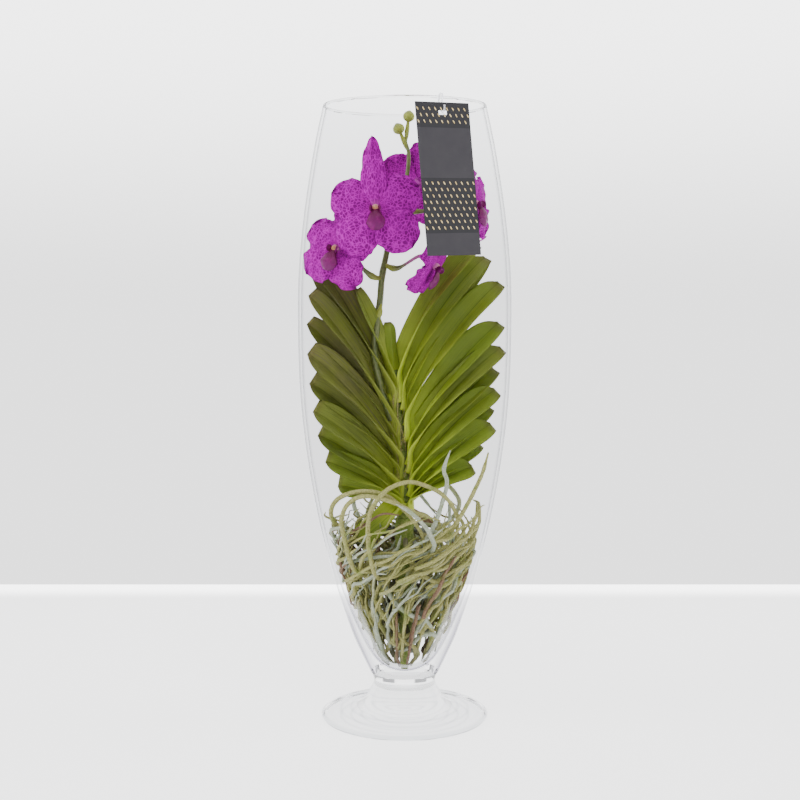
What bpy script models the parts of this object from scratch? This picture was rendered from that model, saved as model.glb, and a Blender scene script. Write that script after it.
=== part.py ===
"""A vanda orchid standing in a tall footed glass vase, with a card tag hung on the rim.

Metres, +Z up. The origin is the centre of the foot's flat underside. -Y is the front.
"""

import math
import random
from collections import namedtuple

import bmesh
import bpy
from mathutils import Matrix, Vector

# Vase
VASE_HEIGHT = 0.600
FOOT_RADIUS = 0.0828
FOOT_EDGE = 0.0040
FOOT_BEVEL = 0.0014
FOOT_DRAFT = 0.0006
WALL = 0.0030
VASE_SIDES = 36
INNER_FLOOR = 0.0455
NECK_HEIGHT = 0.0350
# Height where the inside's own rounded bowl meets the even wall
BOWL_JOIN = 0.1660
# Radius and height of the outside, from the foot's rim up to the vase's rim
OUTLINE = (
    (0.0600, 0.0072),
    (0.0440, 0.0130),
    (0.0350, 0.0220),
    (0.0340, 0.0275),
    (0.0300, NECK_HEIGHT),
    (0.0340, 0.0460),
    (0.0517, 0.0850),
    (0.0655, 0.1260),
    (0.0768, BOWL_JOIN),
    (0.0863, 0.2060),
    (0.0963, 0.2650),
    (0.1023, 0.3250),
    (0.1040, 0.3900),
    (0.1028, 0.4420),
    (0.0970, 0.4990),
    (0.0876, 0.5570),
    (0.0787, VASE_HEIGHT),
)
# Radius and height of the inside, from the rim down to its rounded floor
INNER_BOWL = ((0.0610, 0.1260), (0.0460, 0.0880), (0.0320, 0.0620), (0.0200, 0.0510))

# Gap between neighbouring solids
GAP = 0.0003

# Plant
CROWN_TOP = 0.1990
STEM_RADIUS = 0.0075
STEM_TAPER = (1.1, 1.05, 1.0, 0.95, 0.85, 0.7, 0.5)
STEM = ((0.0, 0.0, CROWN_TOP), (-0.002, 0.0, 0.250), (-0.007, -0.001, 0.300), (-0.010, -0.002, 0.345))
LEAF_THICKNESS = 0.0016
LEAF_STATIONS = 6
# Half width along a leaf: its share at the root, how fast it widens, and how its tip rounds off
LEAF_ROOT_SHARE = 0.45
LEAF_WIDENING = 1.9
LEAF_SHOULDER = 0.72
LEAF_TIP_LENGTH = 0.30
LEAF_TIP_SHAPE = 2.2
# Fold of a leaf's halves in degrees at its root and tip, and its share of the twist at the root
LEAF_FOLDS = (38, 16)
LEAF_ROOT_TWIST = 0.3
# How far a bowed leaf's bend rises, as a share of how far it is drawn in
LEAF_BEND_RISE = 0.45

# One strap leaf: base height on the stem, tip's reach from the axis and height, turn about the
# axis in degrees (0 is right, 180 is left), full width, twist in degrees, and the bow, which is the
# share of its reach by which its bend is drawn in towards the stem
Leaf = namedtuple("Leaf", "name base reach tip turn width twist bow")
LEAVES = (
    Leaf("right_1", 0.312, 0.073, 0.466, 12, 0.028, 44, 0.36),
    Leaf("right_2", 0.304, 0.086, 0.455, 22, 0.034, 50, 0.26),
    Leaf("right_3", 0.290, 0.095, 0.450, 34, 0.030, 46, 0.24),
    Leaf("right_4", 0.278, 0.095, 0.430, 12, 0.034, 54, 0.24),
    Leaf("right_5", 0.256, 0.0962, 0.390, 14, 0.034, 56, 0.22),
    Leaf("right_6", 0.244, 0.096, 0.366, 8, 0.033, 56, 0.20),
    Leaf("right_7", 0.232, 0.095, 0.344, 20, 0.032, 56, 0.19),
    Leaf("right_8", 0.222, 0.092, 0.324, 12, 0.034, 58, 0.18),
    Leaf("right_9", 0.214, 0.090, 0.307, 22, 0.034, 58, 0.17),
    Leaf("right_10", 0.208, 0.087, 0.290, 10, 0.035, 58, 0.16),
    Leaf("right_11", 0.204, 0.080, 0.270, 24, 0.034, 56, 0.16),
    Leaf("right_12", 0.204, 0.068, 0.248, 8, 0.032, 54, 0.16),
    Leaf("left_1", 0.318, 0.017, 0.392, 215, 0.016, 76, 0.02),
    Leaf("left_2", 0.312, 0.051, 0.423, 203, 0.022, -60, 0.12),
    Leaf("left_3", 0.296, 0.090, 0.456, 186, 0.038, -56, 0.16),
    Leaf("left_4", 0.282, 0.094, 0.446, 168, 0.034, -52, 0.16),
    Leaf("left_5", 0.268, 0.094, 0.418, 192, 0.030, -56, 0.18),
    Leaf("left_6", 0.252, 0.095, 0.390, 180, 0.032, -56, 0.22),
    Leaf("left_7", 0.238, 0.095, 0.362, 190, 0.040, -58, 0.22),
    Leaf("left_8", 0.226, 0.093, 0.332, 178, 0.038, -56, 0.22),
    Leaf("left_9", 0.216, 0.090, 0.306, 190, 0.036, -56, 0.20),
    Leaf("left_10", 0.209, 0.085, 0.281, 180, 0.036, -56, 0.20),
    Leaf("left_11", 0.211, 0.052, 0.180, 214, 0.030, -40, 0.15),
    Leaf("left_12", 0.205, 0.078, 0.256, 188, 0.034, -56, 0.18),
    Leaf("left_13", 0.204, 0.066, 0.230, 176, 0.032, -54, 0.16),
)

# Spike of flowers
SPIKE = (
    (-0.013, -0.004, 0.296),
    (-0.022, -0.008, 0.325),
    (-0.029, -0.010, 0.360),
    (-0.027, -0.009, 0.389),
    (-0.024, -0.006, 0.412),
    (-0.022, -0.004, 0.435),
    (-0.018, -0.001, 0.456),
    (-0.012, 0.002, 0.485),
    (-0.005, 0.003, 0.510),
    (0.002, 0.002, 0.532),
    (0.004, 0.000, 0.552),
    (0.001, -0.001, 0.565),
)
SPIKE_RADII = (0.0036, 0.0015)
SPIKE_STATIONS = 16
# Stations of the spike that run among the leaves, which leave room for it
SPIKE_AMONG_LEAVES = 9
BRACT_HEIGHT = 0.398
BRACT_LINE = ((0.0, 0.0, 0.0), (0.0020, -0.0020, 0.006), (0.0032, -0.0030, 0.013))
BRACT_RADII = (0.0030, 0.0028, 0.0008)
# Each bud: where its stalk leaves the spike, the bud's middle and its radius
BUDS = (
    ((0.003, 0.000, 0.557), (-0.006, -0.003, 0.5775), 0.0056),
    ((0.001, -0.001, 0.565), (0.004, -0.001, 0.5895), 0.0056),
)
BUD_STALK_RADII = (0.0013, 0.0021, 0.0014)
# Where a bud's stalk is thickest, as a share of the way to the bud
BUD_STALK_SWELL = 0.35
# Along a bud: place from its middle and radius, as shares of its radius
BUD_OUTLINE = ((-1.05, 0.30), (-0.7, 0.78), (0.0, 1.0), (0.6, 0.78), (0.95, 0.25))

# One bloom: middle of its face, facing turn (0 faces the front, 90 the right) and lift, roll in
# degrees, petal length, the top sepal's share of it, and the height where its stalk leaves the spike
Bloom = namedtuple("Bloom", "name middle turn lift roll size top stalk_from")
BLOOMS = (
    Bloom("bloom_1", (-0.064, -0.036, 0.462), -26, 4, -14, 0.039, 1.0, 0.434),
    Bloom("bloom_2", (-0.027, -0.051, 0.499), -4, 6, 4, 0.047, 1.46, 0.470),
    Bloom("bloom_3", (0.012, 0.036, 0.527), 158, 10, 10, 0.042, 1.0, 0.528),
    Bloom("bloom_4", (0.066, -0.006, 0.505), 62, 4, 6, 0.040, 1.0, 0.500),
    Bloom("bloom_5", (0.027, -0.024, 0.447), 70, -30, -8, 0.036, 1.0, 0.447),
)
# One tepal: direction about the bloom in degrees from up, length and width as shares of the
# bloom's size, and how far it bows forward
Tepal = namedtuple("Tepal", "turn length width forward")
TEPALS = (
    Tepal(0, 1.00, 0.62, 0.08),
    Tepal(66, 0.96, 0.80, 0.05),
    Tepal(-66, 0.96, 0.80, 0.05),
    Tepal(140, 1.06, 0.86, 0.06),
    Tepal(-140, 1.06, 0.86, 0.06),
)
# Along a tepal: place from the middle and half width, as shares
TEPAL_OUTLINE = ((0.02, 0.16), (0.18, 0.26), (0.42, 0.84), (0.66, 1.0), (0.88, 0.74), (1.0, 0.30))
TEPAL_THICKNESS = 0.0012
# How far a tepal's tip curls back, as a share of its length, and its folds at middle and tip
TEPAL_CURL = 0.10
TEPAL_FOLDS = (8, -8)
# Along the lip: how far in front of the bloom's face and how far below its middle
LIP_LINE = ((0.0020, 0.0), (0.0062, 0.0032), (0.0092, 0.0082), (0.0108, 0.0134), (0.0104, 0.0180))
LIP_HALF_WIDTHS = (0.0022, 0.0052, 0.0046, 0.0064, 0.0038)
LIP_FOLDS = (34, 40, 8, -18, -20)
LIP_THICKNESS = 0.0020
# Along the column: how far in front of its foot and how far above
COLUMN_LINE = ((0.0, 0.0), (0.0035, 0.0), (0.0065, 0.0008))
COLUMN_RADII = (0.0036, 0.0030, 0.0020)
HUB_RADIUS = 0.0042
HUB_BACK = 0.0040
HUB_FRONT = 0.0022
STALK_RADIUS = 0.0016
# A bloom's stalk: share of the way to its first bend, the drop there, and its straight end's length
STALK_BEND = 0.30
STALK_DROP = 0.004
STALK_END = (0.012, 0.003)

# Roots that show one by one, by points from the crown outwards
SHOWN_ROOTS = (
    ((-0.010, -0.012, 0.170), (-0.040, -0.040, 0.150), (-0.060, -0.050, 0.180), (-0.058, -0.051, 0.214),
     (-0.040, -0.058, 0.229), (-0.014, -0.063, 0.225), (0.012, -0.060, 0.213), (0.034, -0.054, 0.205)),
    ((-0.014, 0.004, 0.190), (-0.050, -0.010, 0.178), (-0.070, -0.034, 0.204), (-0.064, -0.042, 0.224),
     (-0.038, -0.052, 0.233), (-0.012, -0.056, 0.226), (0.014, -0.052, 0.196), (0.020, -0.044, 0.170)),
    ((-0.008, -0.014, 0.150), (-0.026, -0.052, 0.150), (-0.034, -0.062, 0.182), (-0.033, -0.062, 0.212),
     (-0.020, -0.062, 0.233), (0.000, -0.062, 0.243), (0.018, -0.059, 0.240), (0.038, -0.054, 0.228),
     (0.050, -0.047, 0.206), (0.048, -0.036, 0.176)),
    ((0.010, -0.010, 0.176), (0.014, -0.036, 0.178), (0.024, -0.052, 0.192), (0.033, -0.053, 0.214),
     (0.040, -0.053, 0.240), (0.037, -0.053, 0.254), (0.043, -0.053, 0.272)),
    ((0.004, -0.014, 0.160), (0.026, -0.054, 0.176), (0.024, -0.068, 0.194), (0.010, -0.070, 0.212),
     (-0.008, -0.066, 0.223)),
    ((0.012, 0.000, 0.184), (0.036, -0.038, 0.184), (0.050, -0.050, 0.204), (0.062, -0.046, 0.224),
     (0.074, -0.040, 0.248), (0.080, -0.036, 0.268)),
    ((0.010, 0.008, 0.192), (0.040, 0.030, 0.186), (0.056, 0.046, 0.206), (0.040, 0.064, 0.224),
     (0.006, 0.072, 0.228), (-0.028, 0.066, 0.214), (-0.044, 0.048, 0.180)),
    ((-0.010, 0.010, 0.186), (-0.036, 0.040, 0.180), (-0.052, 0.052, 0.208), (-0.030, 0.068, 0.234),
     (0.004, 0.074, 0.222), (0.034, 0.062, 0.190)),
)
# Roots of the tangle below, laid by a rule
TANGLE_ROOTS = 25
TANGLE_TOP = 0.190
TANGLE_BOTTOM = 0.085
# How far a tangled root falls and how that varies, the least height of its end above the crown's,
# the height of its waves, and how far inside the glass it stays
TANGLE_FALL = 0.085
TANGLE_SPREAD = 0.030
TANGLE_LOWEST = 0.006
TANGLE_WAVE = 0.006
TANGLE_CLEAR = 0.0035
# Where a tangled root starts: how far from the crown's axis, and how its height strays and drops
TANGLE_START = 0.003
TANGLE_STRAY = 0.004
TANGLE_DIP = 0.004
# A tangled root's reach as a share of the clear radius, how much less it may be, and the share
# of that at its first bend
TANGLE_REACH = 0.93
TANGLE_SLACK = 0.16
TANGLE_FIRST_REACH = 0.72
# Turn from one root to the next that never lines up
GOLDEN_TURN = math.pi * (3 - math.sqrt(5))
ROOT_RADIUS = 0.0023
ROOT_SIDES = 4
ROOT_TAPER = 0.35
# How much thicker a tangled root starts, and the share of its radius that is kept off the glass
TANGLE_THICKER = 1.15
ROOT_ROOM = 1.2
ROOT_SEED = 7
CROWN_BOTTOM = 0.0470
CROWN_RADII = (0.0038, 0.0080, 0.0105, 0.0090)
# Where the crown has those radii, as shares of its height
CROWN_PLACES = (0.0, 0.4, 0.75, 1.0)

# Card tag, hung on the rim by a clear hook
TAG_WIDTH = 0.057
TAG_HEIGHT = 0.139
TAG_THICKNESS = 0.0007
TAG_TURN = 30
TAG_LEAN = 6.8
TAG_TILT = 1.6
TAG_SIDEWAYS = -0.0095
TAG_MIDDLE_HEIGHT = 0.5238
SLOT_WIDTH = 0.0090
SLOT_HEIGHT = 0.0040
SLOT_DOWN = 0.0095
HOOK_RADIUS = 0.0009
HOOK_ANGLE = 25
# How deep the hook reaches inside the rim, and how far it stands off the glass beyond its gap
HOOK_DEPTH = 0.012
HOOK_STAND = 0.0010
# The hook's bend over the rim: how far below the rim its sides straighten, and its crown's height
HOOK_SHOULDER = 0.001
HOOK_CROWN = 0.0007
HOOK_OUTER_STAND = 0.0008
# The hook through the slot: how far in front of the slot's seat and how far above it
HOOK_TURN_UP = ((-0.0024, 0.0040), (-0.0012, 0.0), (0.0012, 0.0), (0.0036, 0.0016), (0.0040, 0.0056))

# Share of a blade's thickness between its middle sheet and each face at the edge
EDGE_SHARE = 0.34

UP = Vector((0, 0, 1))


def material(name, colour, roughness, metallic=0.0):
    made = bpy.data.materials.new(name)
    made.use_nodes = True
    shader = made.node_tree.nodes["Principled BSDF"]
    shader.inputs["Base Color"].default_value = (*colour, 1.0)
    shader.inputs["Roughness"].default_value = roughness
    shader.inputs["Metallic"].default_value = metallic
    return made


def add_object(name, verts, faces, finish=None):
    mesh = bpy.data.meshes.new(name)
    mesh.from_pydata([tuple(v) for v in verts], [], faces)
    made = bpy.data.objects.new(name, mesh)
    bpy.context.scene.collection.objects.link(made)
    if finish:
        mesh.materials.append(finish)
    return made


def smooth_points(points, count):
    """Points at even steps of the smooth curve that passes through the given ones."""
    points = [Vector(p) for p in points]
    ends = [2 * points[0] - points[1], *points, 2 * points[-1] - points[-2]]
    fine = []
    per_span = 12
    for a, b, c, d in zip(ends, ends[1:], ends[2:], ends[3:]):
        for step in range(per_span):
            t = step / per_span
            bend = (c - a) * t + (2 * a - 5 * b + 4 * c - d) * t**2 + (3 * b - a - 3 * c + d) * t**3
            fine.append(b + 0.5 * bend)
    fine.append(points[-1])
    lengths = [0.0]
    for p, q in zip(fine, fine[1:]):
        lengths.append(lengths[-1] + (q - p).length)
    out = []
    at = 0
    for i in range(count):
        want = lengths[-1] * i / (count - 1)
        while at < len(fine) - 2 and lengths[at + 1] < want:
            at += 1
        share = (want - lengths[at]) / (lengths[at + 1] - lengths[at])
        out.append(fine[at].lerp(fine[at + 1], share))
    return out


def tangents(path):
    return [(b - a).normalized() for a, b in zip([path[0], *path[:-1]], [*path[1:], path[-1]])]


def ring_skin(rings):
    """Triangles that join equal rings end to end and close both ends."""
    n = len(rings[0])
    faces = []
    for i in range(len(rings) - 1):
        for j in range(n):
            a, b = i * n + j, i * n + (j + 1) % n
            faces += [(a, b, b + n), (a, b + n, a + n)]
    last = (len(rings) - 1) * n
    for j in range(1, n - 1):
        faces += [(0, j + 1, j), (last, last + j, last + j + 1)]
    return [v for ring in rings for v in ring], faces


def tube(name, path, radii, sides, finish=None):
    """A round bar along the path, closed at both ends. radii is one radius, or one for each point."""
    if not isinstance(radii, (list, tuple)):
        radii = [radii] * len(path)
    along = tangents(path)
    side = along[0].orthogonal().normalized()
    rings = []
    for point, way, radius in zip(path, along, radii):
        side = (side - way * side.dot(way)).normalized()
        other = way.cross(side)
        rings.append([
            point + radius * (math.cos(a) * side + math.sin(a) * other)
            for a in (2 * math.pi * j / sides for j in range(sides))
        ])
    return add_object(name, *ring_skin(rings), finish)


def blade(name, path, across, half_widths, folds, thickness, finish=None):
    """A folded ribbon with a rib, the same triangles on both faces. folds lift its edges, in degrees."""
    rings = []
    for point, way, side, half, fold in zip(path, tangents(path), across, half_widths, folds):
        side = (side - way * side.dot(way)).normalized()
        face = way.cross(side)
        edge_out = half * math.cos(math.radians(fold)) * side
        edge_up = half * math.sin(math.radians(fold)) * face
        rib = 0.5 * thickness * face
        rim = EDGE_SHARE * thickness * face
        rings.append([
            point - edge_out + edge_up + rim,
            point + rib,
            point + edge_out + edge_up + rim,
            point + edge_out + edge_up - rim,
            point - rib,
            point - edge_out + edge_up - rim,
        ])
    verts, faces = blade_skin(rings)
    return add_object(name, verts, faces, finish)


def blade_skin(rings):
    """Triangles of a six-point ribbon, cut along the same diagonals above and below."""
    n = 6
    verts = [v for ring in rings for v in ring]
    faces = []
    for i in range(len(rings) - 1):
        a, b = i * n, (i + 1) * n
        faces += [(a, b + 1, a + 1), (a, b, b + 1), (a + 1, b + 1, a + 2), (a + 2, b + 1, b + 2)]
        faces += [(a + 5, a + 4, b + 4), (a + 5, b + 4, b + 5), (a + 4, a + 3, b + 4), (a + 3, b + 3, b + 4)]
        faces += [(a + 2, b + 2, b + 3), (a + 2, b + 3, a + 3), (a + 5, b + 5, b), (a + 5, b, a)]
    last = (len(rings) - 1) * n
    faces += [(0, 1, 5), (1, 4, 5), (1, 2, 4), (2, 3, 4)]
    faces += [(last, last + 5, last + 1), (last + 1, last + 5, last + 4)]
    faces += [(last + 1, last + 4, last + 2), (last + 2, last + 4, last + 3)]
    return verts, faces


def point_outwards(obj):
    """Turns every face of a closed mesh outwards."""
    grid = bmesh.new()
    grid.from_mesh(obj.data)
    bmesh.ops.recalc_face_normals(grid, faces=grid.faces)
    if grid.calc_volume(signed=True) < 0:
        bmesh.ops.reverse_faces(grid, faces=grid.faces)
    grid.to_mesh(obj.data)
    grid.free()


def apply_modifiers(obj):
    bpy.context.view_layer.update()
    graph = bpy.context.evaluated_depsgraph_get()
    solid = bpy.data.meshes.new_from_object(obj.evaluated_get(graph))
    obj.modifiers.clear()
    obj.data = solid


def remove(objects):
    for obj in objects:
        bpy.data.objects.remove(obj)


def fuse(name, pieces, finish):
    """One solid from pieces that run into each other."""
    base, *others = pieces
    for piece in pieces:
        point_outwards(piece)
    helper = bpy.data.collections.new(name + "_pieces")
    for piece in others:
        helper.objects.link(piece)
        bpy.context.scene.collection.objects.unlink(piece)
    bpy.context.scene.collection.children.link(helper)
    join = base.modifiers.new("join", "BOOLEAN")
    join.operation = "UNION"
    join.operand_type = "COLLECTION"
    join.collection = helper
    join.solver = "MANIFOLD"
    apply_modifiers(base)
    remove(list(helper.objects))
    bpy.data.collections.remove(helper)
    base.name = name
    base.data.name = name
    base.data.materials.clear()
    base.data.materials.append(finish)
    drop_scraps(base)
    return base


def cut(obj, cutter):
    point_outwards(cutter)
    slot = obj.modifiers.new("cut", "BOOLEAN")
    slot.operation = "DIFFERENCE"
    slot.object = cutter
    slot.solver = "MANIFOLD"
    apply_modifiers(obj)
    remove([cutter])
    drop_scraps(obj)


def drop_scraps(obj):
    """Keeps the largest connected body of a mesh, and drops any loose scrap or sealed hollow."""
    grid = bmesh.new()
    grid.from_mesh(obj.data)
    bmesh.ops.triangulate(grid, faces=grid.faces)
    seen = set()
    groups = []
    for start in grid.verts:
        if start in seen:
            continue
        group = []
        queue = [start]
        seen.add(start)
        while queue:
            vert = queue.pop()
            group.append(vert)
            for edge in vert.link_edges:
                other = edge.other_vert(vert)
                if other not in seen:
                    seen.add(other)
                    queue.append(other)
        groups.append(group)
    groups.sort(key=len)
    for group in groups[:-1]:
        bmesh.ops.delete(grid, geom=group, context="VERTS")
    grid.to_mesh(obj.data)
    grid.free()


def turned_solid(name, profile, finish):
    """A solid turned about the Z axis from radius and height pairs that start and end on the axis."""
    rings = [
        [
            Vector((radius * math.cos(a), radius * math.sin(a), height))
            for a in (2 * math.pi * j / VASE_SIDES for j in range(VASE_SIDES))
        ]
        for radius, height in profile[1:-1]
    ]
    n = VASE_SIDES
    verts = [v for ring in rings for v in ring]
    faces = []
    for i in range(len(rings) - 1):
        for j in range(n):
            a, b = i * n + j, i * n + (j + 1) % n
            faces += [(a, b, b + n), (a, b + n, a + n)]
    bottom, top = len(verts), len(verts) + 1
    verts += [Vector((0, 0, profile[0][1])), Vector((0, 0, profile[-1][1]))]
    last = (len(rings) - 1) * n
    for j in range(n):
        k = (j + 1) % n
        faces += [(bottom, k, j), (top, last + j, last + k)]
    made = add_object(name, verts, faces, finish)
    point_outwards(made)
    return made


def outline_radius(height):
    """The vase's outer radius at a height above its neck."""
    body = [p for p in OUTLINE if p[1] >= NECK_HEIGHT]
    for (r0, z0), (r1, z1) in zip(body, body[1:]):
        if z0 <= height <= z1:
            return r0 + (r1 - r0) * (height - z0) / (z1 - z0)
    return body[0][0] if height < body[0][1] else body[-1][0]


def inner_radius(height):
    """The clear radius inside the vase at a height."""
    bowl = [(outline_radius(z) - WALL, z) for z in (VASE_HEIGHT, BOWL_JOIN)] + list(INNER_BOWL)
    if height >= bowl[1][1]:
        return (outline_radius(height) - WALL) * math.cos(math.pi / VASE_SIDES)
    for (r0, z0), (r1, z1) in zip(bowl, bowl[1:]):
        if z1 <= height <= z0:
            return (r1 + (r0 - r1) * (height - z1) / (z0 - z1)) * math.cos(math.pi / VASE_SIDES)
    return 0.5 * INNER_BOWL[-1][0]


def make_vase():
    glass = material("glass", (0.93, 0.95, 0.95), 0.03)
    foot = [(0.0, 0.0), (FOOT_RADIUS - FOOT_BEVEL, 0.0), (FOOT_RADIUS, FOOT_BEVEL)]
    foot.append((FOOT_RADIUS - FOOT_DRAFT, FOOT_EDGE))
    outside = list(OUTLINE)
    inside = [(r - WALL, z) for r, z in reversed(OUTLINE) if z > INNER_BOWL[0][1]]
    profile = foot + outside + inside + list(INNER_BOWL) + [(0.0, INNER_FLOOR)]
    return turned_solid("vase", profile, glass)


def leaf_path(leaf, count):
    """A leaf's rib, from inside the stem out to its tip."""
    stem = smooth_points(STEM, 20)
    root = min(stem, key=lambda p: abs(p.z - leaf.base))
    turn = math.radians(leaf.turn)
    tip = Vector((leaf.reach * math.cos(turn), leaf.reach * math.sin(turn), leaf.tip))
    rise = tip - root
    out = Vector((rise.x, rise.y, 0))
    bend = root + 0.5 * rise + leaf.bow * (LEAF_BEND_RISE * UP * out.length - out)
    points = []
    for i in range(count):
        t = i / (count - 1)
        points.append((1 - t) ** 2 * root + 2 * t * (1 - t) * bend + t**2 * tip)
    return points


def leaf_shares(count):
    """Half width along a strap leaf, as a share, narrow in the stem and rounded at the tip."""
    shares = []
    for i in range(count):
        t = i / (count - 1)
        past = max(0.0, (t - LEAF_SHOULDER) / LEAF_TIP_LENGTH)
        rounded = math.sqrt(max(0.0, 1 - past**LEAF_TIP_SHAPE))
        shares.append(min(1.0, LEAF_ROOT_SHARE + LEAF_WIDENING * t) * rounded)
    return shares


def make_leaf(leaf):
    path = leaf_path(leaf, LEAF_STATIONS)
    turn = math.radians(leaf.turn)
    flat = Vector((-math.sin(turn), math.cos(turn), 0))
    across = []
    for i, way in enumerate(tangents(path)):
        twist = math.radians(leaf.twist) * min(1.0, LEAF_ROOT_TWIST + i / (LEAF_STATIONS - 1))
        across.append(Matrix.Rotation(twist, 3, way) @ flat)
    halves = [0.5 * leaf.width * s for s in leaf_shares(LEAF_STATIONS)]
    root_fold, tip_fold = LEAF_FOLDS
    folds = [root_fold + (tip_fold - root_fold) * i / (LEAF_STATIONS - 1) for i in range(LEAF_STATIONS)]
    return blade(leaf.name, path, across, halves, folds, LEAF_THICKNESS)


def make_leafy_stem():
    green = material("leaf_green", (0.13, 0.24, 0.04), 0.42)
    path = smooth_points(STEM, len(STEM_TAPER))
    stem = tube("stem", path, [STEM_RADIUS * share for share in STEM_TAPER], 8)
    plant = fuse("leafy_stem", [stem, *(make_leaf(leaf) for leaf in LEAVES)], green)
    path = smooth_points(SPIKE, SPIKE_STATIONS)[:SPIKE_AMONG_LEAVES]
    path[0] -= (path[1] - path[0]).normalized() * 2 * GAP
    cut(plant, tube("spike_room", path, SPIKE_RADII[0] + 2 * GAP, 8))
    return plant


def bloom_axes(bloom):
    """The directions across, up and out of a bloom's face."""
    turn, lift = math.radians(bloom.turn), math.radians(bloom.lift)
    out = Vector((math.sin(turn) * math.cos(lift), -math.cos(turn) * math.cos(lift), math.sin(lift)))
    across = Vector((math.cos(turn), math.sin(turn), 0))
    up = out.cross(across)
    roll = Matrix.Rotation(math.radians(bloom.roll), 3, out)
    return roll @ across, roll @ up, out


def make_tepal(bloom, tepal, axes):
    across, up, out = axes
    turn = math.radians(tepal.turn)
    way = math.cos(turn) * up + math.sin(turn) * across
    side = math.cos(turn) * across - math.sin(turn) * up
    length = tepal.length * bloom.size * (bloom.top if tepal.turn == 0 else 1)
    half = 0.5 * tepal.width * bloom.size
    middle = Vector(bloom.middle)
    first_fold, last_fold = TEPAL_FOLDS
    path, halves, folds = [], [], []
    for t, share in TEPAL_OUTLINE:
        lift = tepal.forward * math.sin(math.pi * t) - TEPAL_CURL * t**3
        path.append(middle + length * (t * way + lift * out))
        halves.append(half * share)
        folds.append(first_fold + (last_fold - first_fold) * t)
    return blade("tepal", path, [-side] * len(path), halves, folds, TEPAL_THICKNESS)


def make_bloom(bloom, finish):
    axes = bloom_axes(bloom)
    middle, out = Vector(bloom.middle), axes[2]
    hub = tube("hub", [middle - HUB_BACK * out, middle, middle + HUB_FRONT * out], HUB_RADIUS, 8)
    return fuse(bloom.name, [hub, *(make_tepal(bloom, t, axes) for t in TEPALS)], finish)


def make_lip(bloom, finish):
    """The lip with its column, standing on the hub's face."""
    across, up, out = bloom_axes(bloom)
    foot = Vector(bloom.middle) + (HUB_FRONT + GAP) * out
    path = [foot + forward * out + above * up for forward, above in COLUMN_LINE]
    column = tube("column", path, COLUMN_RADII, 8)
    path = [foot + out * forward - up * down for forward, down in LIP_LINE]
    tongue = blade("tongue", path, [-across] * len(path), LIP_HALF_WIDTHS, LIP_FOLDS, LIP_THICKNESS)
    return fuse(bloom.name + "_lip", [column, tongue], finish)


def spike_point(height):
    return min(smooth_points(SPIKE, 60), key=lambda p: abs(p.z - height))


def make_spike():
    green = material("spike_green", (0.20, 0.24, 0.07), 0.45)
    thick, thin = SPIKE_RADII
    radii = [thick + (thin - thick) * (i / (SPIKE_STATIONS - 1)) ** 2 for i in range(SPIKE_STATIONS)]
    pieces = [tube("spike", smooth_points(SPIKE, SPIKE_STATIONS), radii, 6)]
    for bloom in BLOOMS:
        out = bloom_axes(bloom)[2]
        start = spike_point(bloom.stalk_from)
        back = Vector(bloom.middle) - (HUB_BACK + GAP) * out
        leave = start + STALK_BEND * (back - start) - STALK_DROP * UP
        straight = [back - length * out for length in STALK_END]
        path = smooth_points([start, leave, *straight], 6) + [back]
        pieces.append(tube("stalk", path, STALK_RADIUS, 5))
    for start, middle, radius in BUDS:
        start, middle = Vector(start), Vector(middle)
        way = (middle - start).normalized()
        path = [start, start.lerp(middle, BUD_STALK_SWELL), middle - radius * way]
        pieces.append(tube("bud_stalk", path, BUD_STALK_RADII, 6))
        pieces.append(tube(
            "bud",
            [middle + radius * place * way for place, _ in BUD_OUTLINE],
            [radius * share for _, share in BUD_OUTLINE],
            8,
        ))
    foot = spike_point(BRACT_HEIGHT)
    path = [foot + Vector(step) for step in BRACT_LINE]
    pieces.append(tube("bract", path, BRACT_RADII, 6))
    return fuse("flower_spike", pieces, green)


def tangle_root(draw, index):
    """A root that leaves the crown, meets the glass and winds down and round inside it."""
    fall = (TANGLE_TOP - TANGLE_BOTTOM) * index / (TANGLE_ROOTS - 1)
    height = TANGLE_TOP - fall + draw.uniform(-TANGLE_STRAY, TANGLE_STRAY)
    turn = GOLDEN_TURN * index + draw.uniform(-0.2, 0.2)
    sweep = draw.choice((-1, 1)) * draw.uniform(1.2, 2.3)
    points = [Vector((TANGLE_START * math.cos(turn), TANGLE_START * math.sin(turn), height))]
    steps = 6
    start = height - TANGLE_DIP
    lowest = CROWN_BOTTOM + TANGLE_LOWEST + TANGLE_SPREAD * draw.random()
    stop = max(lowest, height - TANGLE_FALL - TANGLE_SPREAD * draw.random())
    for i in range(1, steps + 1):
        t = i / steps
        level = start + (stop - start) * t**1.2 + TANGLE_WAVE * math.sin(3 * t * math.pi + index)
        angle = turn + sweep * (t - 1 / steps)
        room = inner_radius(level) - ROOT_RADIUS - TANGLE_CLEAR
        reach = room * (TANGLE_REACH - TANGLE_SLACK * draw.random())
        if i == 1:
            reach *= TANGLE_FIRST_REACH
        points.append(Vector((reach * math.cos(angle), reach * math.sin(angle), level)))
    return smooth_points(points, 10)


def held_inside(path):
    """The path, with each point drawn in to where a root clears the glass."""
    held = []
    for point in path:
        reach = math.hypot(point.x, point.y)
        most = inner_radius(point.z) - ROOT_ROOM * ROOT_RADIUS - 2 * GAP
        scale = min(1.0, most / reach) if reach else 1.0
        held.append(Vector((point.x * scale, point.y * scale, point.z)))
    return held


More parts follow.
